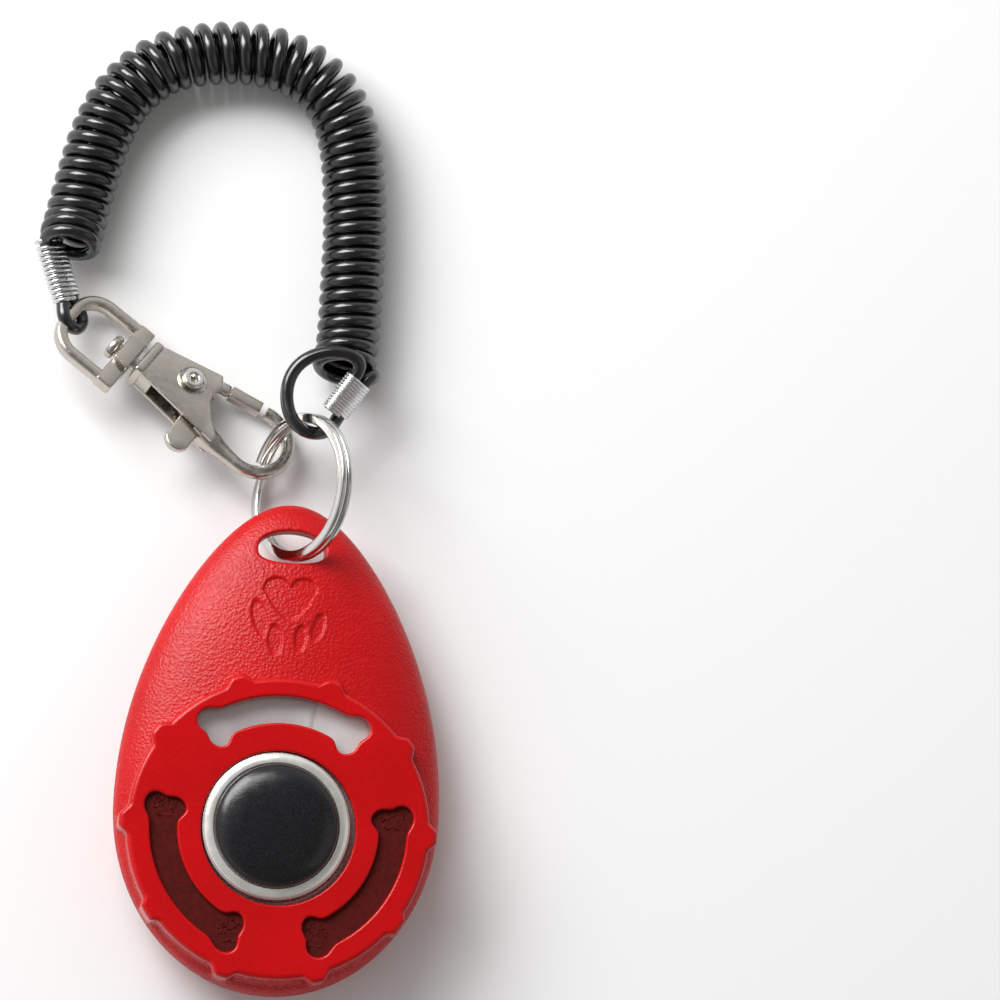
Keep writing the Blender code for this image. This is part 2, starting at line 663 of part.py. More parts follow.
def make_sleeve(name, start, end, pair, paint):
    """A wound-wire sleeve round two cords stacked along the pair direction."""
    axis = (end - start).normalized()
    stack = (pair - axis * pair.dot(axis)).normalized()
    side = axis.cross(stack)
    section = sleeve_section(CORD + SLEEVE_WIRE, CORD / 2.0 + SLEEVE_WIRE)
    add_object(name, sweep(name, [(start, stack, side), (end, stack, side)], section), paint)
    return stack


def make_ring_end(cord_paint, wire_paint):
    """The sleeve and the open loop that hangs in the split ring."""
    start, end = (Vector(p) for p in RING_SLEEVE)
    stack = make_sleeve("ring_sleeve", start, end, Vector((0.0, 0.0, 1.0)), wire_paint)
    axis = (end - start).normalized()
    leave = start - stack * CORD / 2.0 - axis * CORD_GAP
    enter = end + stack * CORD / 2.0 + axis * CORD_GAP
    around = [Vector(p) for p in RING_LOOP_LAY]
    lay = [leave, leave - axis * 0.7] + around + [enter + axis * 1.8, enter + axis * 0.8, enter]
    return tube("ring_loop", smooth_path(lay, 3), CORD, 2, cord_paint)


def make_eye_end(cord_paint, wire_paint):
    """The sleeve and the small loop round the swivel eye's end bar."""
    spot = Vector((EYE_END + EYE_WIRE / 2.0, SWIVEL_T - 0.2, 0.0)) * MM
    bar = clasp_matrix() @ spot / MM
    heading = Vector((*EYE_SLEEVE_HEADING, 0.0))
    across = Vector((-heading.y, heading.x, 0.0))
    tilt = math.radians(EYE_PAIR_TILT)
    pair = across * math.cos(tilt) + Vector((0.0, 0.0, math.sin(tilt)))
    end = bar - heading * 3.9
    start = end - heading * EYE_SLEEVE_LENGTH
    make_sleeve("eye_sleeve", start, end, pair, wire_paint)
    side = CORD / 2.0
    reach = 2.95
    middle = bar - pair * 0.15
    lay = [end + heading * CORD_GAP + pair * side, end + heading * 1.0 + pair * side]
    lay.append(end + heading * 2.1 + pair * 2.1)
    for k in range(7):
        turn = math.radians(90.0 - 30.0 * k)
        lay.append(middle + heading * reach * math.cos(turn) + pair * reach * math.sin(turn))
    lay.append(end + heading * 2.1 - pair * 2.1)
    lay += [end + heading * 1.0 - pair * side, end + heading * CORD_GAP - pair * side]
    return tube("eye_loop", smooth_path(lay, 2), CORD, 2, cord_paint)


def pivot(name, place, members, above=None):
    """An empty on a joint's axis, which carries the pieces that move about it."""
    empty = bpy.data.objects.new(name, None)
    bpy.context.scene.collection.objects.link(empty)
    empty.location = Vector(place) * MM
    bpy.context.view_layer.update()
    if above is not None:
        empty.parent = above
        empty.matrix_parent_inverse = above.matrix_world.inverted()
    for member in members:
        member.parent = empty
        member.matrix_parent_inverse = empty.matrix_world.inverted()
    bpy.context.view_layer.update()
    return empty


def carry_moving_pieces():
    """The button slides in the case; the ring carries the lanyard, and the lanyard the clasp."""
    pieces = bpy.data.objects
    pivot("button_axis", (PLAY_X, PLAY_Y, PLATE_Z), [pieces["button"], pieces["button_retainer"]])
    ring = pivot("ring_axis", RING_PIVOT, [pieces["split_ring"]])
    on_cord = ("wrist_coil", "ring_sleeve", "ring_loop", "eye_sleeve", "eye_loop", "swivel_eye")
    lanyard = pivot("lanyard_axis", RING_CENTRE, [pieces[name] for name in on_cord], ring)
    swivel = clasp_matrix() @ Vector((0.0, SWIVEL_T * MM, 0.0)) / MM
    on_clasp = ("clasp_body", "clasp_rivet", "trigger_spring", "swivel_post")
    clasp = pivot("clasp_axis", swivel, [pieces[name] for name in on_clasp], lanyard)
    pivot("gate_axis", CLASP_AT, [pieces["clasp_trigger"]], clasp)


def main():
    for old in list(bpy.data.objects):
        bpy.data.objects.remove(old, do_unlink=True)
    shell_paint = material("red_plastic", (0.6, 0.005, 0.006), roughness=0.35)
    back_paint = material("red_plastic_back", (0.6, 0.005, 0.006), roughness=0.4)
    make_front_shell(shell_paint)
    make_back_shell(back_paint)
    make_click_plate(material("spring_steel", (0.62, 0.61, 0.59), metallic=1.0, roughness=0.3))
    make_button(material("black_button", (0.012, 0.012, 0.014), roughness=0.3))
    make_retainer(material("retainer_steel", (0.5, 0.5, 0.5), metallic=1.0, roughness=0.4))
    make_screws(material("screw_steel", (0.5, 0.5, 0.5), metallic=1.0, roughness=0.35))
    make_split_ring(material("ring_steel", (0.7, 0.69, 0.67), metallic=1.0, roughness=0.15))
    nickel = material("nickel_plate", (0.66, 0.64, 0.6), metallic=1.0, roughness=0.25)
    make_clasp_body(nickel)
    make_trigger(material("nickel_trigger", (0.6, 0.58, 0.55), metallic=1.0, roughness=0.3))
    make_clasp_rivet(material("nickel_rivet", (0.75, 0.74, 0.72), metallic=1.0, roughness=0.2))
    make_trigger_spring(material("spring_wire", (0.5, 0.5, 0.5), metallic=1.0, roughness=0.4))
    make_swivel_eye(material("nickel_eye", (0.64, 0.62, 0.58), metallic=1.0, roughness=0.25))
    make_swivel_post(material("nickel_post", (0.6, 0.58, 0.55), metallic=1.0, roughness=0.3))
    cord_paint = material("black_cord", (0.01, 0.01, 0.011), roughness=0.3)
    wire_paint = material("sleeve_wire", (0.66, 0.66, 0.65), metallic=1.0, roughness=0.25)
    make_wrist_coil(cord_paint)
    make_ring_end(cord_paint, wire_paint)
    make_eye_end(cord_paint, wire_paint)
    carry_moving_pieces()


main()
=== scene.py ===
"""Looks of the clicker trainer: fine shells, wound sleeves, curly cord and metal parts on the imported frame.

Lengths are written in millimetres, as in the part's own source, and turned into metres by MM.
"""

import math

import bmesh
import bpy
import numpy as np
from mathutils import Matrix, Vector
from mathutils.geometry import delaunay_2d_cdt


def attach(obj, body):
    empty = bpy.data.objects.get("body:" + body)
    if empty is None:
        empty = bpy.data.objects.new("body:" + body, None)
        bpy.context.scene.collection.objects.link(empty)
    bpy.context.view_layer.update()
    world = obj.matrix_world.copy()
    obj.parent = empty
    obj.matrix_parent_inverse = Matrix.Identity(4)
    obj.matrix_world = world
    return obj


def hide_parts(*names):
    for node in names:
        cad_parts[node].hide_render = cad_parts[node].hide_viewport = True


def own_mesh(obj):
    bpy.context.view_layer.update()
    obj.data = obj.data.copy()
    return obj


MM = 0.001
UP = Vector((0.0, 0.0, 1.0))
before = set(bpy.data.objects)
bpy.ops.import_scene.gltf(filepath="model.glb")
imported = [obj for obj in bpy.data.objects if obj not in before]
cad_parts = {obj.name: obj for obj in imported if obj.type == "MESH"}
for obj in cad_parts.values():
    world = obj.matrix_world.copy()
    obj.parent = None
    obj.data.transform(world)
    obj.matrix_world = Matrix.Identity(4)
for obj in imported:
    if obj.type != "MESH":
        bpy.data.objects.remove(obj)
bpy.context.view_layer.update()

# --- case
EGG_HALF_WIDTH = 21.7
EGG_CENTRE_Y = 3.0
EGG_LOWER = 24.8
EGG_UPPER = 41.0
EGG_NARROWING = 0.205
BACK_DEPTH = 6.5
FRONT_Z = 6.8
FRONT_HEIGHT = 7.0
PLATFORM_Z = FRONT_Z + FRONT_HEIGHT
BACK_FLAT = 0.4
# From the first y to the second, the back dome grows shallower, down to this share of its depth.
BACK_TAPER = (18.0, 38.0, 0.22)
CAVITY_Z = 5.4
WALL = 1.8
AROUND = 720
# Rings of mesh points close to the outline, where the two domes are steep, as shares of its radius.
STEEP_SHARES = [math.sin(math.radians(90.0 - 3.0 * k)) for k in range(8)]
# A narrow flat between the rounding of an edge and the triangles of the face beside it.
LAND = 0.05
# --- platform, button hole, bones, eyelet, paw print
PLATFORM_RADIUS = 20.1
KNOB_COUNT = 10
KNOB_PROUD = 1.05
KNOB_HALF_TOP = 1.4
KNOB_HALF_FOOT = 6.0
RIM_FILLET = 0.8
POCKET_RADIUS = 18.6
POCKET_Y = 0.8
POCKET_Z = PLATFORM_Z - WALL
HOLE_RADIUS = 10.25
HOLE_FILLET = 0.25
# Each bone by the angle of its middle: arc radius and half angle.
BONES = {90.0: (15.8, 35.5), 210.0: (15.2, 38.0), 330.0: (15.2, 38.0)}
BONE_HALF_WIDTH = 1.8
BONE_LOBE = 1.6
BONE_LOBE_OFFSET = 1.3
BONE_RECESS = 0.8
BONE_EDGE = 0.35
BONE_SOFTENING = 24
EYELET_Y = 37.6
EYELET_HALF_WIDTH = 4.5
EYELET_ABOVE = 2.6
EYELET_BELOW = 1.8
EYELET_FILLET = 0.5
PAW_DEPTH = 0.3
PAW_Y = 30.4
PAW_PAD_HALF = 3.7
# The two lobes of the pad: middle x, radius and middle y.
PAW_LOBE = (1.8, 1.9, 1.1)
# Each toe: middle x and y, half width, half length, lean in degrees.
PAW_TOES = (
    (-3.9, -2.8, 1.0, 2.5, 14.0), (-1.8, -5.6, 0.95, 2.0, 4.0),
    (1.6, -5.3, 0.8, 1.8, -5.0), (3.9, -3.6, 0.8, 1.9, -14.0),
)
SMALL_PAW_SCALE = 0.3
SMALL_PAW_RIM = 0.2
# Each screw: x, y and the height of its seat.
SCREWS = ((0.0, 27.2, 4.6), (15.0, -9.0, 3.8), (-15.0, -9.0, 3.8))
SCREW_POCKET = 2.3
# --- click plate and button
PLAY = (-0.28, 0.28)
PLATE_Z = 11.0
PLATE_THICK = 0.4
PLATE_UPPER_RADIUS = 18.3
PLATE_LOWER_RADIUS = 17.9
PLATE_STEP = ((14.0, 4.0), (11.8, 2.0))
# The crease under the window: a soft ridge in the sheet, and the line past which its colour is painted
# brighter, a painted reflection of the bent sheet.
RIDGE_HEIGHT = 0.16
RIDGE_FROM = (3.7, 12.0)
RIDGE_BOW = 0.027
RIDGE_SPREAD = 1.5
PAINTED_SHINE_X = 1.6
PAINTED_SHINE_LEAN = 0.16
PAINTED_SHINE_BLEND = 0.25
CUP_RADIUS = 9.6
TIER_RADIUS = 9.82
CUP_TOP = 14.1
CUP_LIP = 1.3
BUTTON_RADIUS = 8.15
BUTTON_BASE = 13.9
BUTTON_TOP = 16.2
BUTTON_ROUNDNESS = 2.6
BUTTON_EDGE = 0.3
BUTTON_STEM = 1.4
STEM_FOOT = 11.4
# --- split ring
RING_CENTRE = (0.75, 46.25, 9.0)
RING_TILT = 55.0
RING_RADIUS = 9.3
RING_WIRE = (1.4, 0.82)
RING_PITCH = 0.98
RING_END_GAP = 24.0
# --- clasp
CLASP_AT = (-14.8, 59.6, 3.45)
CLASP_HEADING = -36.0
CLASP_ROLL = 25.0
CHEEK_Z = (1.3, 1.9)
HOOK_X = 11.5
HOOK_RADIUS = 4.75
HOOK_END = 106.0
HOOK_SECTION = (1.7, 1.8)
GATE_HINGE = (3.4, 3.0)
GATE_ANGLE = 12.0
LEVER_ARC = 1.75
SWIVEL_T = -2.6
EYE_FAR = -18.15
EYE_HALF_WIDTH = 4.75
EYE_CORNER = 3.55
EYE_BASE = (-7.7, -10.1)
# --- cord
CORD = 1.8
STACK = 0.925
COIL_TURN_RADIUS = 3.4
COIL_PITCH_ARM = 1.82
COIL_PITCH_TOP = 2.34
COIL_STEPS = 22
COIL_START = 40.0
COIL_END = -25.0
TAIL_EASING = 22
TAIL_STEP = 0.35
TAIL_TURN = 6
# The coil's middle line, which rises at both ends, so that the last turns lean open.
COIL_LAY = (
    (-32.0, 77.4, 5.7), (-31.3, 80.6, 4.5), (-30.2, 86.0, 4.32), (-28.3, 93.4, 4.32), (-25.2, 99.2, 4.32),
    (-19.6, 103.6, 4.32), (-10.5, 105.36, 4.32), (-3.0, 104.1, 4.32), (2.2, 100.2, 4.32), (5.0, 94.0, 4.32),
    (6.2, 84.0, 4.32), (6.3, 74.0, 4.32), (6.2, 67.0, 4.35), (5.8, 62.7, 5.2),
)
RING_SLEEVE = ((4.7, 56.7, 8.1), (7.7, 61.1, 8.9))
RING_PAIR_TILT = 45.0
RING_LOOP_LAY = (
    (4.7, 55.0, 7.7), (3.5, 53.7, 9.3), (1.3, 53.3, 10.6), (-0.8, 54.5, 10.7), (-1.8, 56.8, 10.3),
    (-2.0, 59.1, 10.3), (-1.6, 61.0, 10.4), (-0.5, 62.7, 10.5), (1.3, 63.9, 10.6), (3.9, 64.6, 10.7),
    (6.4, 64.3, 10.6), (8.0, 63.4, 10.3),
)
EYE_SLEEVE_LENGTH = 7.3
EYE_SLEEVE_GAP = 1.9
EYE_LOOP_RADIUS = 2.3
EYE_SLEEVE_HEADING = (0.358, -0.934)
EYE_PAIR_TILT = 130.0
EYE_SLEEVE_WIRE = 0.58
RING_SLEEVE_WIRE = 0.43
SLEEVE_STEPS = 28
LOOSE_PITCH = 1.0
# --- camera
CAMERA_AIM = (27.8, 46.8, 5.0)
CAMERA_FROM = (-0.085, -0.14, 1.0)
CAMERA_ROLL = 3.0
CAMERA_LENS = 300.0
FRAME_WIDTH = 134.2
# --- lights: name, place and size in metres, power in watts
LIGHT_AIM = (0.0, 0.04, 0.0)
LIGHTS = (
    ("window_light", (-0.42, 0.42, 0.42), (0.44, 0.36), 5.0),
    ("overhead_light", (-0.22, 0.44, 0.62), (0.4, 0.22), 1.6),
    ("fill_light", (0.5, -0.1, 0.4), (0.5, 0.5), 0.25),
)


# === camera, floor, light
def new_object(name, data):
    thing = bpy.data.objects.new(name, data)
    bpy.context.scene.collection.objects.link(thing)
    return thing


def make_camera():
    """A long lens from above, a little from the south-west, rolled a few degrees."""
    back = Vector(CAMERA_FROM).normalized()
    roll = math.radians(CAMERA_ROLL)
    right = Vector((-math.sin(roll), math.cos(roll), 0.0)).cross(back).normalized()
    up = back.cross(right)
    data = bpy.data.cameras.new("camera")
    data.lens = CAMERA_LENS
    distance = FRAME_WIDTH * CAMERA_LENS / data.sensor_width
    camera = new_object("camera", data)
    turn = Matrix((right, up, back)).transposed().to_4x4()
    camera.matrix_world = Matrix.Translation((Vector(CAMERA_AIM) + back * distance) * MM) @ turn
    data.clip_start = 0.01
    data.clip_end = 10.0
    bpy.context.scene.camera = camera


def area_light(name, place, size, power):
    data = bpy.data.lights.new(name, "AREA")
    data.shape = "RECTANGLE"
    data.size, data.size_y = size
    data.energy = power
    light = new_object(name, data)
    light.location = place
    light.rotation_euler = (Vector(LIGHT_AIM) - Vector(place)).to_track_quat("-Z", "Y").to_euler()


def make_stage():
    """A plain pale floor under three soft lamps and a pale sky."""
    mesh = bpy.data.meshes.new("floor")
    mesh.from_pydata([(-3, -3, 0), (3, -3, 0), (3, 3, 0), (-3, 3, 0)], [], [(0, 1, 2, 3)])
    floor = new_object("floor", mesh)
    paint = bpy.data.materials.new("floor_paint")
    paint.use_nodes = True
    shader = paint.node_tree.nodes["Principled BSDF"]
    shader.inputs["Base Color"].default_value = (0.86, 0.86, 0.86, 1.0)
    shader.inputs["Roughness"].default_value = 0.9
    shader.inputs["Specular IOR Level"].default_value = 0.1
    mesh.materials.append(paint)
    for name, place, size, power in LIGHTS:
        area_light(name, place, size, power)
    make_sky()
    bpy.context.scene.view_settings.view_transform = "Standard"


def make_sky():
    """A bright surround, darker straight overhead and to the south-east, so flat metal reads grey."""
    world = bpy.data.worlds.new("studio")
    bpy.context.scene.world = world
    world.use_nodes = True
    nodes, links = world.node_tree.nodes, world.node_tree.links
    background = nodes["Background"]
    place = nodes.new("ShaderNodeTexCoord")
    ramp = nodes.new("ShaderNodeValToRGB")
    ramp.color_ramp.elements[0].position = 0.0
    ramp.color_ramp.elements[0].color = (1.0, 1.0, 1.0, 1.0)
    ramp.color_ramp.elements[1].position = 0.97
    ramp.color_ramp.elements[1].color = (0.25, 0.245, 0.235, 1.0)
    for height, grey in ((0.42, 0.8), (0.7, 0.36)):
        ramp.color_ramp.elements.new(height).color = (grey, grey, grey, 1.0)
    lean = nodes.new("ShaderNodeVectorMath")
    lean.operation = "DOT_PRODUCT"
    lean.inputs[1].default_value = (0.5, -0.5, 1.0)
    links.new(place.outputs["Generated"], lean.inputs[0])
    links.new(lean.outputs["Value"], ramp.inputs[0])
    links.new(ramp.outputs[0], background.inputs["Color"])
    background.inputs["Strength"].default_value = 0.8


# === materials
class Paint:
    """A Principled material with helpers for procedural detail in object space."""

    def __init__(self, name, colour, metallic, roughness, specular=0.5):
        self.material = bpy.data.materials.new(name)
        self.material.use_nodes = True
        self.nodes = self.material.node_tree.nodes
        self.links = self.material.node_tree.links
        self.shader = self.nodes["Principled BSDF"]
        self.shader.inputs["Base Color"].default_value = (*colour, 1.0)
        self.shader.inputs["Metallic"].default_value = metallic
        self.shader.inputs["Roughness"].default_value = roughness
        self.shader.inputs["Specular IOR Level"].default_value = specular
        self.place = self.nodes.new("ShaderNodeTexCoord").outputs["Object"]
        self.normal = None

    def noise(self, scale, detail):
        """Noise with its cell size given by scale, in cells a metre."""
        noise = self.nodes.new("ShaderNodeTexNoise")
        noise.inputs["Scale"].default_value = scale
        noise.inputs["Detail"].default_value = detail
        self.links.new(self.place, noise.inputs["Vector"])
        return noise.outputs["Fac"]

    def cells(self, scale):
        """Rounded cells, for a moulded leather grain."""
        cell = self.nodes.new("ShaderNodeTexVoronoi")
        cell.feature = "SMOOTH_F1"
        cell.inputs["Scale"].default_value = scale
        cell.inputs["Smoothness"].default_value = 0.6
        self.links.new(self.place, cell.inputs["Vector"])
        return cell.outputs["Distance"]

    def spread(self, value, low, high, start=0.3, end=0.7):
        """Maps a noise value to a range of numbers."""
        change = self.nodes.new("ShaderNodeMapRange")
        change.inputs["From Min"].default_value = start
        change.inputs["From Max"].default_value = end
        change.inputs["To Min"].default_value = low
        change.inputs["To Max"].default_value = high
        self.links.new(value, change.inputs["Value"])
        return change.outputs["Result"]

    def vary_colour(self, value, colours):
        """Colours along a noise value, from (position, colour) pairs."""
        ramp = self.nodes.new("ShaderNodeValToRGB")
        stops = ramp.color_ramp.elements
        for stop, (position, colour) in zip(stops, (colours[0], colours[-1])):
            stop.position = position
            stop.color = (*colour, 1.0)
        for position, colour in colours[1:-1]:
            stops.new(position).color = (*colour, 1.0)
        self.links.new(value, ramp.inputs[0])
        self.links.new(ramp.outputs[0], self.shader.inputs["Base Color"])

    def vary_roughness(self, value, low, high):
        self.links.new(self.spread(value, low, high), self.shader.inputs["Roughness"])

    def bump(self, value, strength, height):
        bump = self.nodes.new("ShaderNodeBump")
        bump.inputs["Strength"].default_value = strength
        bump.inputs["Distance"].default_value = height
        self.links.new(value, bump.inputs["Height"])
        if self.normal is not None:
            self.links.new(self.normal, bump.inputs["Normal"])
        self.normal = bump.outputs["Normal"]
        self.links.new(self.normal, self.shader.inputs["Normal"])


def red_plastic(name, grain):
    """Saturated red moulded plastic; grain is the strength of its leather texture."""
    paint = Paint(name, (0.6, 0.003, 0.006), 0.0, 0.36, 0.3)
    broad = paint.noise(90.0, 3.0)
    paint.vary_colour(broad, ((0.3, (0.44, 0.0005, 0.0018)), (0.7, (0.52, 0.0009, 0.003))))
    paint.vary_roughness(paint.noise(1500.0, 3.0), 0.2 + 0.14 * grain, 0.26 + 0.24 * grain)
    paint.bump(paint.cells(2700.0), grain, 0.0001)
    paint.bump(paint.noise(5200.0, 2.0), grain * 0.5, 0.00003)
    return paint.material


def recess_painted_shade():
    """The recess floors: the same plastic, matt, with its colour painted far darker than the body's as
    painted shade, lightly mottled.
    """
    # Painted shade: the floor colour is about a tenth of the body's red, standing in for the shade inside the
    # recesses.
    paint = Paint("recess_red_painted_shade", (0.06, 0.003, 0.002), 0.0, 0.6, 0.12)
    mottle = paint.noise(1400.0, 4.0)
    paint.vary_colour(mottle, ((0.3, (0.055, 0.003, 0.002)), (0.7, (0.095, 0.005, 0.003))))
    paint.bump(paint.noise(4200.0, 3.0), 0.35, 0.00004)
    return paint.material


def button_plastic():
    """Black plastic with a fine sparkle and a light grain."""
    paint = Paint("button_black", (0.012, 0.012, 0.014), 0.0, 0.3)
    paint.vary_colour(paint.noise(5200.0, 3.0), ((0.45, (0.003, 0.003, 0.004)), (0.8, (0.02, 0.021, 0.026))))
    paint.vary_roughness(paint.noise(900.0, 3.0), 0.15, 0.26)
    paint.bump(paint.cells(4200.0), 0.22, 0.00004)
    paint.bump(paint.noise(9000.0, 2.0), 0.25, 0.00002)
    return paint.material


def sheet_steel():
    """Rolled spring steel, its colour painted brighter to the right of a curved crease under the window as
    painted reflection.
    """
    paint = Paint("plate_steel", (0.7, 0.7, 0.69), 0.62, 0.32)
    split = paint.nodes.new("ShaderNodeSeparateXYZ")
    paint.links.new(paint.place, split.inputs[0])
    bow = paint.nodes.new("ShaderNodeMath")
    bow.operation = "MULTIPLY_ADD"
    bow.inputs[1].default_value = -PAINTED_SHINE_LEAN
    paint.links.new(split.outputs["Y"], bow.inputs[0])
    paint.links.new(split.outputs["X"], bow.inputs[2])
    # Painted reflection: the colour steps from 0.7 to 0.95 across the crease line; the cloud noise only
    # varies its tone.
    side = paint.spread(bow.outputs[0], 0.0, 1.0, PAINTED_SHINE_X * MM, (PAINTED_SHINE_X + PAINTED_SHINE_BLEND) * MM)
    cloud = paint.spread(paint.noise(160.0, 2.0), -0.12, 0.12)
    shine_and_cloud = paint.nodes.new("ShaderNodeMath")
    paint.links.new(side, shine_and_cloud.inputs[0])
    paint.links.new(cloud, shine_and_cloud.inputs[1])
    paint.vary_colour(shine_and_cloud.outputs[0], ((0.0, (0.7, 0.7, 0.7)), (1.0, (0.95, 0.95, 0.94))))
    paint.vary_roughness(paint.noise(500.0, 2.0), 0.28, 0.34)
    return paint.material


def cup_steel():
    """The drawn cup: brushed steel with a dull film that keeps it light from above."""
    paint = Paint("cup_steel", (0.9, 0.88, 0.84), 0.7, 0.22)
    film = paint.noise(220.0, 3.0)
    paint.vary_colour(film, ((0.3, (0.78, 0.76, 0.71)), (0.5, (0.9, 0.88, 0.84)), (0.7, (0.95, 0.94, 0.92))))
    paint.vary_roughness(paint.noise(700.0, 3.0), 0.18, 0.3)
    return paint.material


def worn_nickel(name, tint, rough):
    """Tumbled nickel plate: cloudy, with fine scuffs and warmer worn patches."""
    paint = Paint(name, tint, 1.0, rough)
    cloud = paint.noise(330.0, 4.0)
    dark = tuple(c * 0.9 for c in tint)
    warm = (tint[0] * 1.01, tint[1] * 0.98, tint[2] * 0.94)
    light = tuple(min(1.0, c * 1.08) for c in tint)
    paint.vary_colour(cloud, ((0.3, dark), (0.45, warm), (0.58, tint), (0.72, light)))
    paint.vary_roughness(paint.noise(1300.0, 4.0), rough * 0.7, rough * 1.45)
    paint.bump(paint.noise(2300.0, 5.0), 0.16, 0.00003)
    paint.bump(paint.noise(600.0, 3.0), 0.1, 0.00008)
    return paint.material


def bright_steel(name, tint, rough, scuff):
    """Polished wire with scuffs along it."""
    paint = Paint(name, tint, 1.0, rough)
    patch = paint.noise(260.0, 4.0)
    dark = tuple(c * 0.88 for c in tint)
    paint.vary_colour(patch, ((0.3, dark), (0.6, tint)))
    paint.vary_roughness(paint.noise(1800.0, 4.0), rough * 0.6, rough * 1.6)
    paint.bump(paint.noise(3000.0, 4.0), scuff, 0.00002)
    return paint.material


def cord_plastic():
    """Glossy black plastic, clouded where it has been handled."""
    paint = Paint("cord_black", (0.01, 0.01, 0.011), 0.0, 0.25, 0.85)
    paint.vary_colour(paint.noise(700.0, 3.0), ((0.35, (0.002, 0.002, 0.0025)), (0.7, (0.006, 0.006, 0.007))))
    paint.vary_roughness(paint.noise(1700.0, 4.0), 0.12, 0.24)
    paint.bump(paint.noise(3600.0, 3.0), 0.1, 0.00003)
    return paint.material


# === mesh tools
class Shape:
    """Collects the faces of one piece in millimetres, then makes it a mesh object."""

    def __init__(self):
        self.verts = []
        self.faces = []
        self.slots = []

    def add(self, verts, faces, slot=0):
        base = len(self.verts)
        self.verts += [tuple(v) for v in verts]
        self.faces += [tuple(base + i for i in face) for face in faces]
        self.slots += [slot] * len(faces)

    def strip(self, rows, slot=0):
        """Quads between rows of points, each row a closed loop."""
        count = len(rows[0])
        faces = []
        for k in range(len(rows) - 1):
            for i in range(count):
                j = (i + 1) % count
                faces.append((k * count + i, k * count + j, (k + 1) * count + j, (k + 1) * count + i))
        self.add([v for row in rows for v in row], faces, slot)

    def cover(self, loops, height, inside=(), slot=0):
        """Triangles over the plane region between closed loops, raised by height(x, y)."""
        points = [Vector(p[:2]) for loop in loops for p in loop]
        edges = []
        base = 0
        for loop in loops:
            edges += [(base + i, base + (i + 1) % len(loop)) for i in range(len(loop))]
            base += len(loop)
        points += [Vector(p) for p in inside]
        verts, _, faces, _, _, _ = delaunay_2d_cdt(points, edges, [], 0, 1e-6)
        flat = np.array([(v.x, v.y) for v in verts])
        corners = np.array(faces)
        middles = flat[corners].mean(axis=1)
        kept = corners[inside_loops(middles, loops)]
        heights = height(flat[:, 0], flat[:, 1])
        raised = np.column_stack([flat, np.broadcast_to(heights, len(flat))])
        self.add(raised.tolist(), kept.tolist(), slot)

    def build(self, name, paints, matrix=None, angle=35.0):
        mesh = bpy.data.meshes.new(name)
        mesh.from_pydata([tuple(c * MM for c in v) for v in self.verts], [], self.faces)
        mesh.polygons.foreach_set("material_index", self.slots)
        shape = bmesh.new()
        shape.from_mesh(mesh)
        bmesh.ops.remove_doubles(shape, verts=shape.verts, dist=2e-6)
        bmesh.ops.dissolve_degenerate(shape, edges=shape.edges, dist=1e-7)
        loose = [v for v in shape.verts if not v.link_faces]
        bmesh.ops.delete(shape, geom=loose, context="VERTS")
        bmesh.ops.recalc_face_normals(shape, faces=shape.faces)
        shape.to_mesh(mesh)
        shape.free()
        return add_piece(name, mesh, paints, matrix, angle)


def add_piece(name, mesh, paints, matrix=None, angle=35.0):
    for paint in paints:
        mesh.materials.append(paint)
    if matrix is not None:
        mesh.transform(matrix)
    piece = new_object(name, mesh)
    if isinstance(mesh, bpy.types.Mesh):
        mesh.shade_smooth()
        mesh.set_sharp_from_angle(angle=math.radians(angle))
    return piece


def inside_loops(points, loops):
    """Even-odd test of points against closed loops."""
    inside = np.zeros(len(points), bool)
    for loop in loops:
        ring = np.array([p[:2] for p in loop])
        following = np.roll(ring, -1, axis=0)
        for (ax, ay), (bx, by) in zip(ring, following):
            if ay == by:
                continue
            crosses = (points[:, 1] < ay) != (points[:, 1] < by)
            at = ax + (points[:, 1] - ay) * (bx - ax) / (by - ay)
            inside ^= crosses & (points[:, 0] < at)
    return inside


def grid_points(low, high, step, loops, clear):
    """Grid points inside the region of the loops and clear of them."""
    xs = np.arange(low[0], high[0], step)
    ys = np.arange(low[1], high[1], step * 0.87)
    rows = np.arange(len(ys)) % 2 * step / 2.0
    points = np.array([(x + shift, y) for y, shift in zip(ys, rows) for x in xs])
    points = points[inside_loops(points, loops)]
    rims = np.array([p[:2] for loop in loops for p in loop])
    near = np.ones(len(points), bool)
    for start in range(0, len(points), 500):
        block = points[start:start + 500]
        distance = np.linalg.norm(block[:, None, :] - rims[None, :, :], axis=2).min(axis=1)
        near[start:start + 500] = distance > clear
    return points[near]


def circle(radius, x=0.0, y=0.0, steps=32, start=0.0, end=360.0):
    """Points round a circle, or along an arc with both its ends; angles in degrees."""
    whole = abs(end - start) >= 360.0
    count = steps if whole else steps + 1
    turns = [math.radians(start + (end - start) * i / steps) for i in range(count)]
    return [(x + radius * math.cos(t), y + radius * math.sin(t)) for t in turns]


def at_height(loop, z):
    return [(p[0], p[1], z) for p in loop]


def raised(loop, height, drop=0.0):
    """The loop's points lifted to height(x, y), less a drop."""
    flat = np.array(loop)
    return [(x, y, z) for (x, y), z in zip(loop, height(flat[:, 0], flat[:, 1]) - drop)]


def fillet(radius, steps=5):
    """(inset, drop) pairs round a quarter circle, from the flat to the wall."""
    turns = [math.radians(90.0 * k / steps) for k in range(steps + 1)]
    return [(radius * (1.0 - math.sin(t)), radius * (1.0 - math.cos(t))) for t in turns]


def revolve(profile, paints, name, steps, matrix, angle, closed=False):
    """A turned piece; profile points are (radius, z), radius 0 only at its two ends."""
    shape = Shape()
    rows = []
    for radius, z in profile + (profile[:1] if closed else []):
        rows.append([(x, y, z) for x, y in circle(max(radius, 1e-6), steps=steps)])
    shape.strip(rows)
    return shape.build(name, paints, matrix, angle)


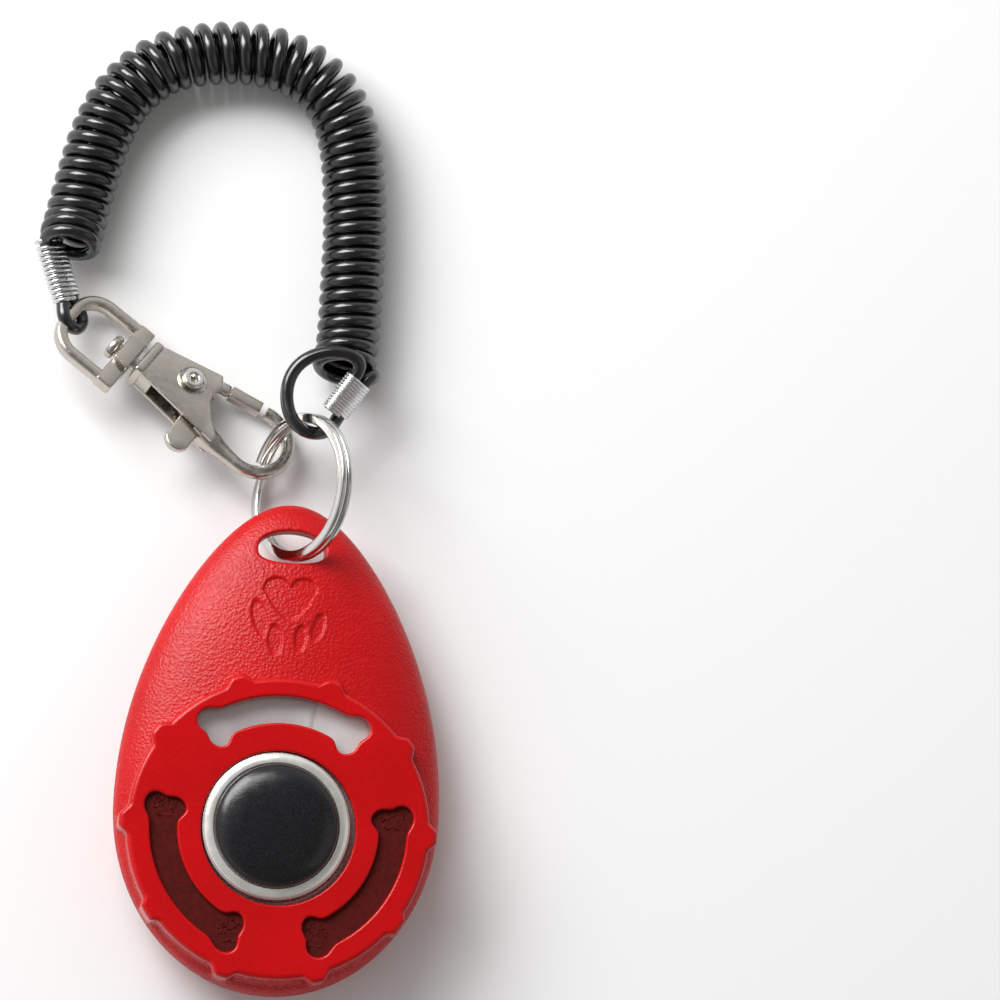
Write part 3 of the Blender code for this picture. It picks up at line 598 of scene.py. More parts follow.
def smooth_path(points, steps):
    """A smooth curve through the points (Catmull-Rom), with the given steps per span."""
    ends = [points[0] * 2.0 - points[1]] + list(points) + [points[-1] * 2.0 - points[-2]]
    path = []
    for a, b, c, d in zip(ends, ends[1:], ends[2:], ends[3:]):
        for k in range(steps):
            t = k / steps
            path.append(
                0.5 * (b * 2.0 + (c - a) * t + (a * 2.0 - b * 5.0 + c * 4.0 - d) * t**2
                       + (b * 3.0 - a - c * 3.0 + d) * t**3)
            )
    return path + [points[-1]]


def tube(name, points, diameter, resolution, paint):
    """A round wire or cord as one capped poly curve."""
    curve = bpy.data.curves.new(name, "CURVE")
    curve.dimensions = "3D"
    curve.bevel_depth = diameter / 2.0 * MM
    curve.bevel_resolution = resolution
    curve.use_fill_caps = True
    line = curve.splines.new("POLY")
    line.points.add(len(points) - 1)
    for spot, point in zip(line.points, points):
        spot.co = (point.x * MM, point.y * MM, point.z * MM, 1.0)
    line.use_smooth = True
    return add_piece(name, curve, [paint])


def ride(piece, body, slot, *nodes):
    """Says which body a piece moves with and the frame nodes that it replaces; slot is not used."""
    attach(piece, body)
    if nodes:
        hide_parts(*nodes)


# === case
def egg_point(turn):
    """A point of the case outline: an ellipse below, a longer narrowing one above."""
    rise = math.sin(turn)
    x = EGG_HALF_WIDTH * math.cos(turn) * (1.0 - EGG_NARROWING * max(0.0, rise) ** 2)
    return x, EGG_CENTRE_Y + (EGG_UPPER if rise > 0.0 else EGG_LOWER) * rise


def egg_polar():
    """The case outline as radius over angle about the platform's middle."""
    points = np.array([egg_point(t) for t in np.linspace(-math.pi, math.pi, 4001)])
    angles = np.arctan2(points[:, 1], points[:, 0])
    order = np.argsort(angles)
    radii = np.hypot(points[:, 0], points[:, 1])[order]
    return angles[order], radii


EGG_ANGLES, EGG_RADII = egg_polar()


def egg_radius(angle):
    return np.interp(angle, EGG_ANGLES, EGG_RADII, period=2.0 * math.pi)


def egg_loop(share=1.0):
    turns = np.linspace(-math.pi, math.pi, AROUND, endpoint=False)
    radii = egg_radius(turns) * share
    return [(r * math.cos(t), r * math.sin(t)) for r, t in zip(radii, turns)]


def reach(x, y):
    """How far out a point is, 0 in the middle to 1 on the outline."""
    return np.minimum(1.0, np.hypot(x, y) / egg_radius(np.arctan2(y, x)))


def smooth_step(value, low, high):
    share = np.clip((value - low) / (high - low), 0.0, 1.0)
    return share * share * (3.0 - 2.0 * share)


def front_height(x, y):
    return FRONT_Z + FRONT_HEIGHT * np.sqrt(1.0 - reach(x, y) ** 2)


def back_height(x, y):
    out = np.clip((reach(x, y) - BACK_FLAT) / (1.0 - BACK_FLAT), 0.0, 1.0)
    start, end, left = BACK_TAPER
    taper = 1.0 - (1.0 - left) * smooth_step(y, start, end)
    return BACK_DEPTH * (1.0 - taper * np.sqrt(1.0 - out**2.5))


def platform_loop(inset=0.0):
    """The platform's rim with its knobs; inset moves it inward all round."""
    turns = np.linspace(-math.pi, math.pi, AROUND, endpoint=False)
    pitch = 360.0 / KNOB_COUNT
    off = np.abs((np.degrees(turns) + pitch / 2.0) % pitch - pitch / 2.0)
    knob = 1.0 - smooth_step(off, KNOB_HALF_TOP, KNOB_HALF_FOOT)
    radii = np.minimum(PLATFORM_RADIUS + KNOB_PROUD * knob, egg_radius(turns) * 0.992) - inset
    return [(r * math.cos(t), r * math.sin(t)) for r, t in zip(radii, turns)]


def bone_loop(middle, grow=0.0):
    """A curved bone, an arc with two round lobes at each end; grow widens it all round."""
    radius, half_angle = BONES[middle]
    half_length = math.radians(half_angle) * radius
    lobe = BONE_LOBE + grow
    width = BONE_HALF_WIDTH + grow
    meet = math.degrees(math.asin(min(1.0, BONE_LOBE_OFFSET / lobe)))
    foot = math.degrees(math.asin((BONE_LOBE_OFFSET - BONE_HALF_WIDTH) / lobe))
    right_top = circle(lobe, half_length, BONE_LOBE_OFFSET, 30, 180.0 + foot, -meet)
    right_low = [(p, -q) for p, q in reversed(right_top)]
    left_low = [(-p, q) for p, q in reversed(right_low)]
    left_top = [(-p, q) for p, q in reversed(right_top)]
    steps = [half_length * (i / 15.0 - 1.0) * 0.72 for i in range(31)]
    top_edge = [(p, width) for p in steps]
    low_edge = [(p, -width) for p in reversed(steps)]
    flat = top_edge + right_top + right_low[1:] + low_edge + left_low + left_top[1:]
    loop = []
    for p, q in softened(flat, 300, BONE_SOFTENING):
        turn = math.radians(middle) - p / radius
        loop.append(((radius + q) * math.cos(turn), (radius + q) * math.sin(turn)))
    return loop


def softened(loop, count, passes):
    """The loop with evenly spaced points and its corners smoothed away."""
    points = np.array(loop + loop[:1])
    lengths = np.concatenate([[0.0], np.cumsum(np.hypot(*np.diff(points, axis=0).T))])
    places = np.linspace(0.0, lengths[-1], count, endpoint=False)
    even = np.column_stack([np.interp(places, lengths, points[:, k]) for k in (0, 1)])
    for _ in range(passes):
        even = (np.roll(even, 1, axis=0) + 2.0 * even + np.roll(even, -1, axis=0)) / 4.0
    return even.tolist()


def eyelet_loop(grow=0.0):
    """The eyelet's slot: an arched top and a flatter foot; grow widens it all round."""
    loop = []
    for x, y in circle(1.0, steps=96):
        if y > 0.0:
            point = ((EYELET_HALF_WIDTH + grow) * x, (EYELET_ABOVE + grow) * y**0.85)
        else:
            flat = math.copysign(abs(x) ** 0.8, x)
            point = ((EYELET_HALF_WIDTH + grow) * flat, -(EYELET_BELOW + grow) * abs(y) ** 0.75)
        loop.append((point[0], EYELET_Y + point[1]))
    return loop


def paw_depth(x, y, scale=1.0):
    """How deep a small paw print is at a point, 0 to 1; its toes point down the page."""
    x = np.asarray(x) / scale
    y = np.asarray(y) / scale
    across = np.minimum(np.abs(x), PAW_PAD_HALF)
    lobe_x, lobe_radius, lobe_y = PAW_LOBE
    top = lobe_y + lobe_radius * np.sqrt(np.clip(1.0 - ((across - lobe_x) / lobe_radius) ** 2, 0.0, 1.0))
    foot = 4.2 * (across / PAW_PAD_HALF) ** 1.6 - 3.1
    pad = np.minimum(np.minimum(top - y, y - foot), PAW_PAD_HALF - np.abs(x))
    depth = smooth_step(pad, -0.1, 0.3)
    for middle_x, middle_y, wide, tall, lean in PAW_TOES:
        turn = math.radians(lean)
        dx, dy = x - middle_x, y - middle_y
        across = (dx * math.cos(turn) + dy * math.sin(turn)) / wide
        along = (dy * math.cos(turn) - dx * math.sin(turn)) / tall
        depth = np.maximum(depth, 1.0 - smooth_step(np.hypot(across, along), 0.85, 1.15))
    return depth


def body_height(x, y):
    """The grained dome with the paw print pressed into it."""
    return front_height(x, y) - PAW_DEPTH * paw_depth(x, y - PAW_Y - 0.4)


def recess_floor(middle):
    """The floor of a bone recess, with a tiny raised paw outline in each end."""
    def height(x, y):
        floor = np.full(np.shape(x), PLATFORM_Z - BONE_RECESS)
        radius, half_angle = BONES[middle]
        for side in (-1.0, 1.0):
            turn = math.radians(middle + side * half_angle)
            px = radius * math.cos(turn)
            py = radius * math.sin(turn)
            depth = paw_depth(x - px, -(y - py) - 0.4, SMALL_PAW_SCALE)
            floor = floor + SMALL_PAW_RIM * 4.0 * depth * (1.0 - depth)
        return floor
    return height


def add_platform_rim(shape, foot, flat_rim):
    """The platform's side wall, from its rounded rim down to the dome."""
    wall_top = PLATFORM_Z - RIM_FILLET
    rows = [at_height(flat_rim, PLATFORM_Z)]
    for inset, drop in fillet(RIM_FILLET, 7):
        rows.append(at_height(platform_loop(inset), PLATFORM_Z - drop))
    base = raised(foot, lambda x, y: np.minimum(front_height(x, y), wall_top - 0.02))
    rows.append([(x, y, z + (wall_top - z) * 0.4) for x, y, z in base])
    rows.append(base)
    shape.strip(rows, 1)


def add_button_hole(shape, hole, hole_flat):
    rows = [at_height(hole_flat, PLATFORM_Z)]
    for inset, drop in fillet(HOLE_FILLET):
        rows.append(at_height(circle(HOLE_RADIUS + inset, steps=240), PLATFORM_Z - drop))
    rows.append(at_height(hole, POCKET_Z))
    shape.strip(rows, 1)


def add_bone(shape, middle):
    """A bone's wall; the two lower bones have a floor, and the top one is a window to the pocket."""
    floor = POCKET_Z if middle == 90.0 else PLATFORM_Z - BONE_RECESS
    loop = bone_loop(middle)
    rows = [at_height(bone_loop(middle, BONE_EDGE + LAND), PLATFORM_Z)]
    for grow, drop in fillet(BONE_EDGE):
        rows.append(at_height(bone_loop(middle, grow), PLATFORM_Z - drop))
    rows.append(at_height(loop, floor))
    shape.strip(rows, 1)
    if floor > POCKET_Z:
        corners = np.array(loop)
        inside = grid_points(corners.min(0), corners.max(0), 0.14, [loop], 0.08)
        # The floor takes slot 2, the recess paint with its painted shade.
        shape.cover([loop], recess_floor(middle), inside, 2)


def add_dome(shape, outer, foot, slot_edge):
    """The grained dome round the platform, with finer triangles under the paw print."""
    base = np.array(foot)
    foot_shares = np.hypot(base[:, 0], base[:, 1]) / egg_radius(np.arctan2(base[:, 1], base[:, 0]))
    points = []
    for share in STEEP_SHARES[1:]:
        points += [p for p, f in zip(egg_loop(share)[::3], foot_shares[::3]) if f < share - 0.012]
    ringed = np.array(points)
    ringed = ringed[inside_loops(ringed, [outer, foot, slot_edge])]
    limits = [egg_loop(STEEP_SHARES[-1] - 0.02), foot, slot_edge]
    grid = grid_points((-22, -22), (22, 44), 0.55, limits, 0.3)
    paw_box = (np.abs(grid[:, 0]) < 6.2) & (np.abs(grid[:, 1] - PAW_Y + 2.2) < 7.4)
    fine = grid_points((-6.2, PAW_Y - 9.6), (6.2, PAW_Y + 5.2), 0.17, limits, 0.15)
    inside = np.concatenate([ringed, grid[~paw_box], fine])
    shape.cover([outer, foot, slot_edge], body_height, inside, 0)


def make_front_shell(body_paint, platform_paint, recess_shade_paint):
    """Dome, platform, bones, button hole and eyelet, closed underneath by the pocket and the seam."""
    shape = Shape()
    foot = platform_loop()
    flat_rim = platform_loop(RIM_FILLET + LAND)
    add_platform_rim(shape, foot, flat_rim)
    hole = circle(HOLE_RADIUS, steps=240)
    hole_flat = circle(HOLE_RADIUS + HOLE_FILLET + LAND, steps=240)
    add_button_hole(shape, hole, hole_flat)
    for middle in BONES:
        add_bone(shape, middle)
    tops = [flat_rim, hole_flat] + [bone_loop(middle, BONE_EDGE + LAND) for middle in BONES]
    shape.cover(tops, lambda x, y: PLATFORM_Z, (), 1)
    slot_rows = [raised(eyelet_loop(grow), front_height, drop) for grow, drop in fillet(EYELET_FILLET, 6)]
    slot_rows.append(at_height(eyelet_loop(), FRONT_Z))
    shape.strip(slot_rows, 0)
    outer = egg_loop(STEEP_SHARES[0])
    add_dome(shape, outer, foot, eyelet_loop(EYELET_FILLET))
    pocket = circle(POCKET_RADIUS, 0.0, POCKET_Y, 160)
    shape.cover([pocket, hole, bone_loop(90.0)], lambda x, y: POCKET_Z, (), 1)
    shape.strip([at_height(pocket, POCKET_Z), at_height(pocket, FRONT_Z)], 1)
    shape.cover([outer, pocket, eyelet_loop()], lambda x, y: FRONT_Z, (), 0)
    shell = shape.build("front_shell_skin", [body_paint, platform_paint, recess_shade_paint], angle=50.0)
    ride(shell, "clicker", "red_plastic", "front_shell")


def make_back_shell(paint):
    """The shallow back dome with its screw pockets, eyelet slot and hidden inner cavity."""
    shape = Shape()
    outer = egg_loop()
    slot = eyelet_loop()
    pockets = [circle(SCREW_POCKET, x, y, 48) for x, y, _ in SCREWS]
    rings = [p for share in STEEP_SHARES[1:] for p in egg_loop(share)[::3]]
    inner_limit = egg_loop(STEEP_SHARES[-1] - 0.02)
    grid = grid_points((-22, -22), (22, 44), 0.6, [inner_limit, slot] + pockets, 0.3)
    inside = np.concatenate([np.array(rings), grid])
    inside = inside[inside_loops(inside, [outer, slot] + pockets)]
    shape.cover([outer, slot] + pockets, back_height, inside)
    shape.strip([raised(slot, back_height), at_height(slot, BACK_DEPTH)])
    for (_, _, seat), pocket in zip(SCREWS, pockets):
        shape.strip([raised(pocket, back_height), at_height(pocket, seat)])
        shape.cover([pocket], lambda x, y, z=seat: z)
    cavity = [(x * 0.86, y * 0.86 if y < 0.0 else y * 0.62) for x, y in outer]
    shape.cover([outer, slot, cavity], lambda x, y: BACK_DEPTH)
    shape.strip([at_height(cavity, BACK_DEPTH), at_height(cavity, CAVITY_Z)])
    shape.cover([cavity], lambda x, y: CAVITY_Z)
    shell = shape.build("back_shell_skin", [paint], angle=50.0)
    ride(shell, "clicker", "red_plastic_back", "back_shell")


# === click plate and button
def play_matrix():
    """Plate and button sit a little off centre in their hole, by the play that they have."""
    return Matrix.Translation((PLAY[0] * MM, PLAY[1] * MM, 0.0))


def plate_outline():
    """Two arcs, the upper one larger, joined by a step on each side."""
    x, y = -PLAY[0], POCKET_Y - PLAY[1]
    (wide_x, wide_y), (narrow_x, narrow_y) = PLATE_STEP
    upper = math.degrees(math.acos(wide_x / PLATE_UPPER_RADIUS))
    lower = math.degrees(math.acos(narrow_x / PLATE_LOWER_RADIUS))
    edge = circle(PLATE_UPPER_RADIUS, x, y, 60, upper, 180.0 - upper)
    edge += [(x - wide_x, wide_y), (x - narrow_x, narrow_y)]
    edge += circle(PLATE_LOWER_RADIUS, x, y, 60, 180.0 + lower, 360.0 - lower)
    return edge + [(x + narrow_x, narrow_y), (x + wide_x, wide_y)]


def plate_top(x, y):
    """The sheet's upper face, with a soft ridge along its crease."""
    ridge_x, ridge_y = RIDGE_FROM
    off = x - ridge_x - RIDGE_BOW * (y - ridge_y) ** 2
    ridge = RIDGE_HEIGHT * np.exp(-np.abs(off) / RIDGE_SPREAD) * smooth_step(y, 9.0, ridge_y)
    return PLATE_Z + PLATE_THICK - RIDGE_HEIGHT + ridge


def cup_profile():
    """(radius, z) points of the cup: tier, wall, lip, floor with a middle hole, and the underside."""
    lip_in = CUP_RADIUS - CUP_LIP
    inner = CUP_RADIUS - PLATE_THICK
    cup = [(TIER_RADIUS, PLATE_Z + PLATE_THICK), (TIER_RADIUS, 13.2)]
    cup += [(TIER_RADIUS - 0.06, 13.32), (CUP_RADIUS + 0.02, 13.34)]
    cup += [(CUP_RADIUS - 0.1, 13.4), (CUP_RADIUS - 0.1, 13.5), (CUP_RADIUS, 13.56), (CUP_RADIUS, 13.7)]
    cup += [(CUP_RADIUS - 0.07, 13.8), (CUP_RADIUS - 0.2, 13.87), (lip_in + 0.25, CUP_TOP)]
    cup += [(lip_in + 0.1, CUP_TOP - 0.04), (lip_in, CUP_TOP - 0.2)]
    cup += [(lip_in - 0.1, 13.6), (3.0, 13.55), (1.75, 13.55)]
    return cup + [(1.75, 13.2), (lip_in - 0.4, 13.2), (inner, 13.1), (inner, PLATE_Z + 0.2)]


def make_click_plate(paint, cup_paint):
    """The sprung sheet with its drawn cup; a crease crosses it under the window."""
    shape = Shape()
    edge = plate_outline()
    opening = circle(TIER_RADIUS + 0.25, steps=160)
    inside = grid_points((-14, 9.5), (14, 18.5), 0.3, [edge, opening], 0.2)
    shape.cover([edge, opening], plate_top, inside)
    shape.cover([edge, opening], lambda x, y: PLATE_Z)
    shape.strip([raised(edge, plate_top), at_height(edge, PLATE_Z)])
    rows = [raised(opening, plate_top)]
    rows += [at_height(circle(radius, steps=160), z) for radius, z in cup_profile()]
    rows.append(at_height(opening, PLATE_Z))
    shape.strip(rows, 1)
    plate = shape.build("click_plate_sheet", [paint, cup_paint], play_matrix(), 40.0)
    ride(plate, "clicker", "spring_steel", "click_plate")
    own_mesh(plate)


def make_button(paint):
    """A low, evenly rounded dome with an undercut foot."""
    profile = [(0.0, STEM_FOOT), (BUTTON_STEM - 0.2, STEM_FOOT), (BUTTON_STEM, STEM_FOOT + 0.2)]
    profile += [(BUTTON_STEM, BUTTON_BASE - 0.1), (7.6, BUTTON_BASE - 0.1)]
    profile += [(BUTTON_RADIUS - 0.12, BUTTON_BASE), (BUTTON_RADIUS, BUTTON_BASE + 0.12)]
    rise = BUTTON_TOP - BUTTON_BASE - BUTTON_EDGE
    for k in range(1, 33):
        share = math.cos(math.radians(90.0 * k / 32.0))
        swell = (1.0 - share**BUTTON_ROUNDNESS) ** (1.0 / BUTTON_ROUNDNESS)
        profile.append((BUTTON_RADIUS * share, BUTTON_BASE + BUTTON_EDGE + rise * swell))
    button = revolve(profile, [paint], "button_cap", 128, play_matrix(), 60.0)
    ride(button, "button", "black_button", "button")


# === split ring
def plane_frames(curve):
    """(point, side, up) frames along a curve that lies in the XY plane."""
    frames = []
    for i, point in enumerate(curve):
        along = (curve[min(i + 1, len(curve) - 1)] - curve[max(i - 1, 0)]).normalized()
        frames.append((point, Vector((along.y, -along.x, 0.0)), UP))
    return frames


def sweep(shape, frames, sections):
    """A capped solid through (point, side, up) frames, with one plane section at each."""
    rows = []
    for (point, side, up), section in zip(frames, sections):
        rows.append([point + side * a + up * b for a, b in section])
    shape.strip(rows)
    for row in (rows[0], rows[-1]):
        middle = sum(row, Vector()) / len(row)
        count = len(row)
        shape.add([middle, *row], [(0, i + 1, (i + 1) % count + 1) for i in range(count)])


def rounded_section(wide, tall, power=0.62, steps=20):
    """A rounded rectangle (superellipse) section."""
    section = []
    for x, y in circle(1.0, steps=steps):
        across = wide / 2.0 * math.copysign(abs(x) ** power, x)
        section.append((across, tall / 2.0 * math.copysign(abs(y) ** power, y)))
    return section


def ring_matrix():
    tilt = Matrix.Rotation(math.radians(-RING_TILT), 4, "Y")
    return Matrix.Translation(Vector(RING_CENTRE) * MM) @ tilt


def make_split_ring(paint):
    """Two turns of wire with one step between them where the cut ends lie."""
    shape = Shape()
    start = 180.0 + RING_END_GAP
    end = 180.0 + 720.0 - RING_END_GAP
    count = 260
    frames = []
    for k in range(count + 1):
        angle = start + (end - start) * k / count
        rise = smooth_step(angle, 540.0 - RING_END_GAP, 540.0 + RING_END_GAP) - 0.5
        turn = math.radians(angle)
        out = Vector((math.cos(turn), math.sin(turn), 0.0))
        point = out * RING_RADIUS + Vector((0.0, 0.0, float(rise) * RING_PITCH))
        frames.append((point, out, UP))
    sweep(shape, frames, [rounded_section(RING_WIRE[0], RING_WIRE[1] + 0.1)] * len(frames))
    ring = shape.build("split_ring_wire", [paint], ring_matrix(), 50.0)
    ride(ring, "ring", "ring_steel", "split_ring")


# === clasp
def clasp_matrix():
    place = Matrix.Translation(Vector(CLASP_AT) * MM)
    heading = Matrix.Rotation(math.radians(CLASP_HEADING), 4, "Z")
    return place @ heading @ Matrix.Rotation(math.radians(-CLASP_ROLL), 4, "X")


def in_order(faces):
    """The faces, each from its lowest vertex, sorted: bmesh lists them differently from run to run."""
    turned = []
    for face in faces:
        start = face.index(min(face))
        turned.append(face[start:] + face[:start])
    return sorted(turned)


def bevelled_prism(shape, outline, low, high, bevel, sharp=40.0):
    """A flat part over an outline with small bevels round its two faces."""
    mesh = bmesh.new()
    bottom = [mesh.verts.new((x, y, low)) for x, y in outline]
    face = mesh.faces.new(bottom)
    made = bmesh.ops.extrude_face_region(mesh, geom=[face])
    lifted = [v for v in made["geom"] if isinstance(v, bmesh.types.BMVert)]
    bmesh.ops.translate(mesh, vec=(0.0, 0.0, high - low), verts=lifted)
    bmesh.ops.recalc_face_normals(mesh, faces=mesh.faces)
    rims = [e for e in mesh.edges if e.calc_face_angle(0.0) > math.radians(sharp)]
    bmesh.ops.bevel(
        mesh, geom=rims, offset=bevel, segments=3, profile=0.5, affect="EDGES", clamp_overlap=True
    )
    bmesh.ops.triangulate(mesh, faces=[f for f in mesh.faces if len(f.verts) > 4])
    mesh.verts.index_update()
    faces = in_order([tuple(v.index for v in f.verts) for f in mesh.faces])
    shape.add([tuple(v.co) for v in mesh.verts], faces)
    mesh.free()


def rounded(outline, radius, steps=5):
    """An outline with its corners rounded; each point may carry its own radius."""
    count = len(outline)
    result = []
    for i, corner in enumerate(outline):
        here = Vector(corner[:2])
        limit = corner[2] if len(corner) > 2 else radius
        before = Vector(outline[i - 1][:2]) - here
        after = Vector(outline[(i + 1) % count][:2]) - here
        opening = before.angle(after)
        reach_back = min(limit / math.tan(opening / 2.0), before.length * 0.45, after.length * 0.45)
        start = here + before.normalized() * reach_back
        end = here + after.normalized() * reach_back
        for k in range(steps + 1):
            t = k / steps
            point = start * (1 - t) ** 2 + here * 2 * t * (1 - t) + end * t**2
            result.append((point.x, point.y))
    return result


def make_clasp_body(paint):
    """Two cheeks round the gate leaf, a collar, and the hook as a round-backed arm."""
    shape = Shape()
    cheek = [(-5.9, -4.3, 0.3), (5.0, -5.35, 0.6), (7.4, -5.6, 0.4), (7.2, -4.4, 0.5), (5.4, -2.9, 1.2)]
    cheek += [(3.75, -0.9, 2.0), (3.3, 0.6, 1.2), (3.75, 2.2, 0.5), (2.75, 3.75, 0.45), (-5.9, 1.35, 0.3)]
    for side in (1.0, -1.0):
        low, high = sorted(side * z for z in CHEEK_Z)
        bevelled_prism(shape, rounded(cheek, 0.5), low, high, 0.17)
    web = [(-5.9, -4.2), (-3.8, -4.4), (-3.8, 0.0), (-2.2, 1.9), (-5.9, 1.2)]
    bevelled_prism(shape, web, -1.4, 1.4, 0.05)
    collar = [(-7.0, -4.4), (-5.7, -4.4), (-5.7, 1.3), (-7.0, 1.3)]
    bevelled_prism(shape, rounded(collar, 0.45), -2.25, 2.25, 0.35)
    line = [(4.6, -3.9), (6.2, -4.35), (7.9, -4.5), (9.6, -4.62)]
    line += circle(HOOK_RADIUS, HOOK_X, 0.0, 44, -90.0, HOOK_END)
    hook = plane_frames(smooth_path([Vector((x, y, 0.0)) for x, y in line], 2))
    sections = []
    for point, _, _ in hook:
        wide, tall = HOOK_SECTION
        if point.y < 0.0:
            wide = 3.1 - 1.4 * float(smooth_step(point.x, 5.0, 12.0))
            tall = 3.4 - 1.6 * float(smooth_step(point.x, 5.2, 9.4))
        sections.append(rounded_section(wide, tall, 0.7, 28))
    sweep(shape, hook, sections)
    body = shape.build("clasp_casting", [paint], clasp_matrix(), 40.0)
    ride(body, "clasp", "nickel_plate", "clasp_body")
    flange = [(1.75, 1.75), (2.1, 1.75), (2.1, 1.9), (1.95, 2.02), (1.75, 1.98)]
    seat = revolve(flange, [paint], "rivet_seat", 64, clasp_matrix(), 50.0, closed=True)
    ride(seat, "clasp", "nickel_plate")


def make_rivet(paint):
    """A hollow rivet: a short tube with a rolled flange on each face."""
    face = 2.2
    profile = [(0.55, -face - 0.35), (0.75, -face - 0.5), (1.2, -face - 0.5), (1.5, -face - 0.36)]
    profile += [(1.6, -face - 0.15), (1.5, -face), (0.75, -face), (0.75, face), (1.5, face)]
    profile += [(1.6, face + 0.15), (1.5, face + 0.36), (1.2, face + 0.5), (0.75, face + 0.5)]
    profile += [(0.55, face + 0.35)]
    rivet = revolve(profile, [paint], "hollow_rivet", 64, clasp_matrix(), 60.0, closed=True)
    ride(rivet, "clasp", "nickel_rivet", "clasp_rivet")


def make_trigger(paint):
    """Gate bar and thumb lever in one leaf, stepped where it enters the body."""
    shape = Shape()
    turn = math.radians(GATE_ANGLE)
    along = Vector((math.cos(turn), math.sin(turn)))
    side = Vector((-along.y, along.x))
    start = Vector(GATE_HINGE)
    plan = circle(LEVER_ARC, 0.0, 0.0, 16, 115.0, 235.0) + [(1.7, -4.6)]
    plan += circle(LEVER_ARC, 3.6, -7.9, 20, -160.0, 20.0) + [(5.35, -4.9), (2.0, 0.7), (3.2, 1.9)]
    root = start + along * 1.3
    plan += [tuple(start - side * 0.8), tuple(root - side * 0.8), tuple(root + side * 0.7)]
    plan += [tuple(start + side * 0.7), (1.2, 2.0)]
    bevelled_prism(shape, plan, -0.1, 1.0, 0.2, 50.0)
    corners = ((1.45, -0.85), (6.1, -0.85), (6.1, 0.85), (1.45, 0.85))
    gate = [tuple(start + along * distance + side * out) for distance, out in corners]
    bevelled_prism(shape, rounded(gate, 0.2, 3), -0.55, 1.05, 0.28)
    corners = ((1.0, -0.55), (1.8, -0.55), (1.8, 0.5), (1.0, 0.5))
    neck = [tuple(start + along * distance + side * out) for distance, out in corners]
    bevelled_prism(shape, neck, -0.05, 0.8, 0.1)
    leaf = shape.build("gate_lever", [paint], clasp_matrix(), 40.0)
    ride(leaf, "trigger", "nickel_trigger", "clasp_trigger")


def make_trigger_spring(paint):
    """Torsion spring: three close turns of wire round the rivet."""
    radius, pitch, wire, steps = 1.33, 0.27, 0.26, 24
    matrix = clasp_matrix()
    points = []
    for k in range(3 * steps + 1):
        turn = 2.0 * math.pi * k / steps
        point = Vector((radius * math.cos(turn), radius * math.sin(turn), -1.0 + pitch * k / steps))
        points.append(matrix @ (point * MM) / MM)
    spring = tube("torsion_spring", points, wire, 2, paint)
    ride(spring, "clasp", "spring_wire", "trigger_spring")


def make_swivel_eye(paint):
    """The D-shaped eye: a flat-sided bow on a thick base that the post turns in."""
    shape = Shape()
    middle = SWIVEL_T - 0.5
    low, high = middle - EYE_HALF_WIDTH, middle + EYE_HALF_WIDTH
    near, back = EYE_BASE
    path = [(-8.6, high), (-10.5, high)]
    path += circle(EYE_CORNER, EYE_FAR + EYE_CORNER, high - EYE_CORNER, 14, 90.0, 180.0)
    path += circle(EYE_CORNER, EYE_FAR + EYE_CORNER, low + EYE_CORNER, 14, 180.0, 270.0)
    path += [(-10.5, low), (-8.6, low)]
    frames = plane_frames(smooth_path([Vector((x, y, 0.0)) for x, y in path], 2))
    sweep(shape, frames, [rounded_section(1.7, 2.0, 0.6, 24)] * len(frames))
    base = [(near, low - 0.85), (near, high + 0.85), (back, high + 0.85), (back, low - 0.85)]
    bevelled_prism(shape, rounded(base, 0.35, 3), -1.0, 1.0, 0.2)
    block = [(near, SWIVEL_T - 2.6), (near, SWIVEL_T + 2.6), (back, SWIVEL_T + 2.2), (back, SWIVEL_T - 2.2)]
    bevelled_prism(shape, rounded(block, 0.3, 3), -1.9, 1.9, 0.35)
    eye = shape.build("swivel_eye_bow", [paint], clasp_matrix(), 40.0)
    ride(eye, "lanyard", "nickel_eye", "swivel_eye")


def make_swivel_post(paint):
    """The peened post: a shank with a flat mushroom head inside the eye."""
    profile = [(0.0, -2.3), (1.1, -2.3), (1.6, -2.15), (1.75, -1.85), (1.72, -1.3), (1.5, -1.1)]
    profile += [(1.05, -1.1), (1.05, 2.3), (0.0, 2.3)]
    turn = Matrix.Translation((-9.35 * MM, SWIVEL_T * MM, 0.0)) @ Matrix.Rotation(math.radians(90.0), 4, "Y")
    post = revolve(profile, [paint], "peened_post", 48, clasp_matrix() @ turn, 45.0)
    ride(post, "clasp", "nickel_post", "swivel_post")


# === cord and sleeves
def eye_end_places():
    """Directions and end points of the sleeve at the clasp's eye."""
    bar = clasp_matrix() @ (Vector((EYE_FAR, SWIVEL_T - 0.2, 0.0)) * MM) / MM
    heading = Vector((*EYE_SLEEVE_HEADING, 0.0))
    across = Vector((-heading.y, heading.x, 0.0))
    tilt = math.radians(EYE_PAIR_TILT)
    pair = across * math.cos(tilt) + Vector((0.0, 0.0, math.sin(tilt)))
    end = bar - heading * EYE_SLEEVE_GAP
    start = end - heading * EYE_SLEEVE_LENGTH
    return bar, heading, pair, start, end


def ring_end_places():
    """Directions and end points of the sleeve at the split ring."""
    start, end = (Vector(p) for p in RING_SLEEVE)
    axis = (end - start).normalized()
    side = UP.cross(axis).normalized()
    tilt = math.radians(RING_PAIR_TILT)
    stack = axis.cross(side) * math.cos(tilt) + side * math.sin(tilt)
    return axis, stack, start, end


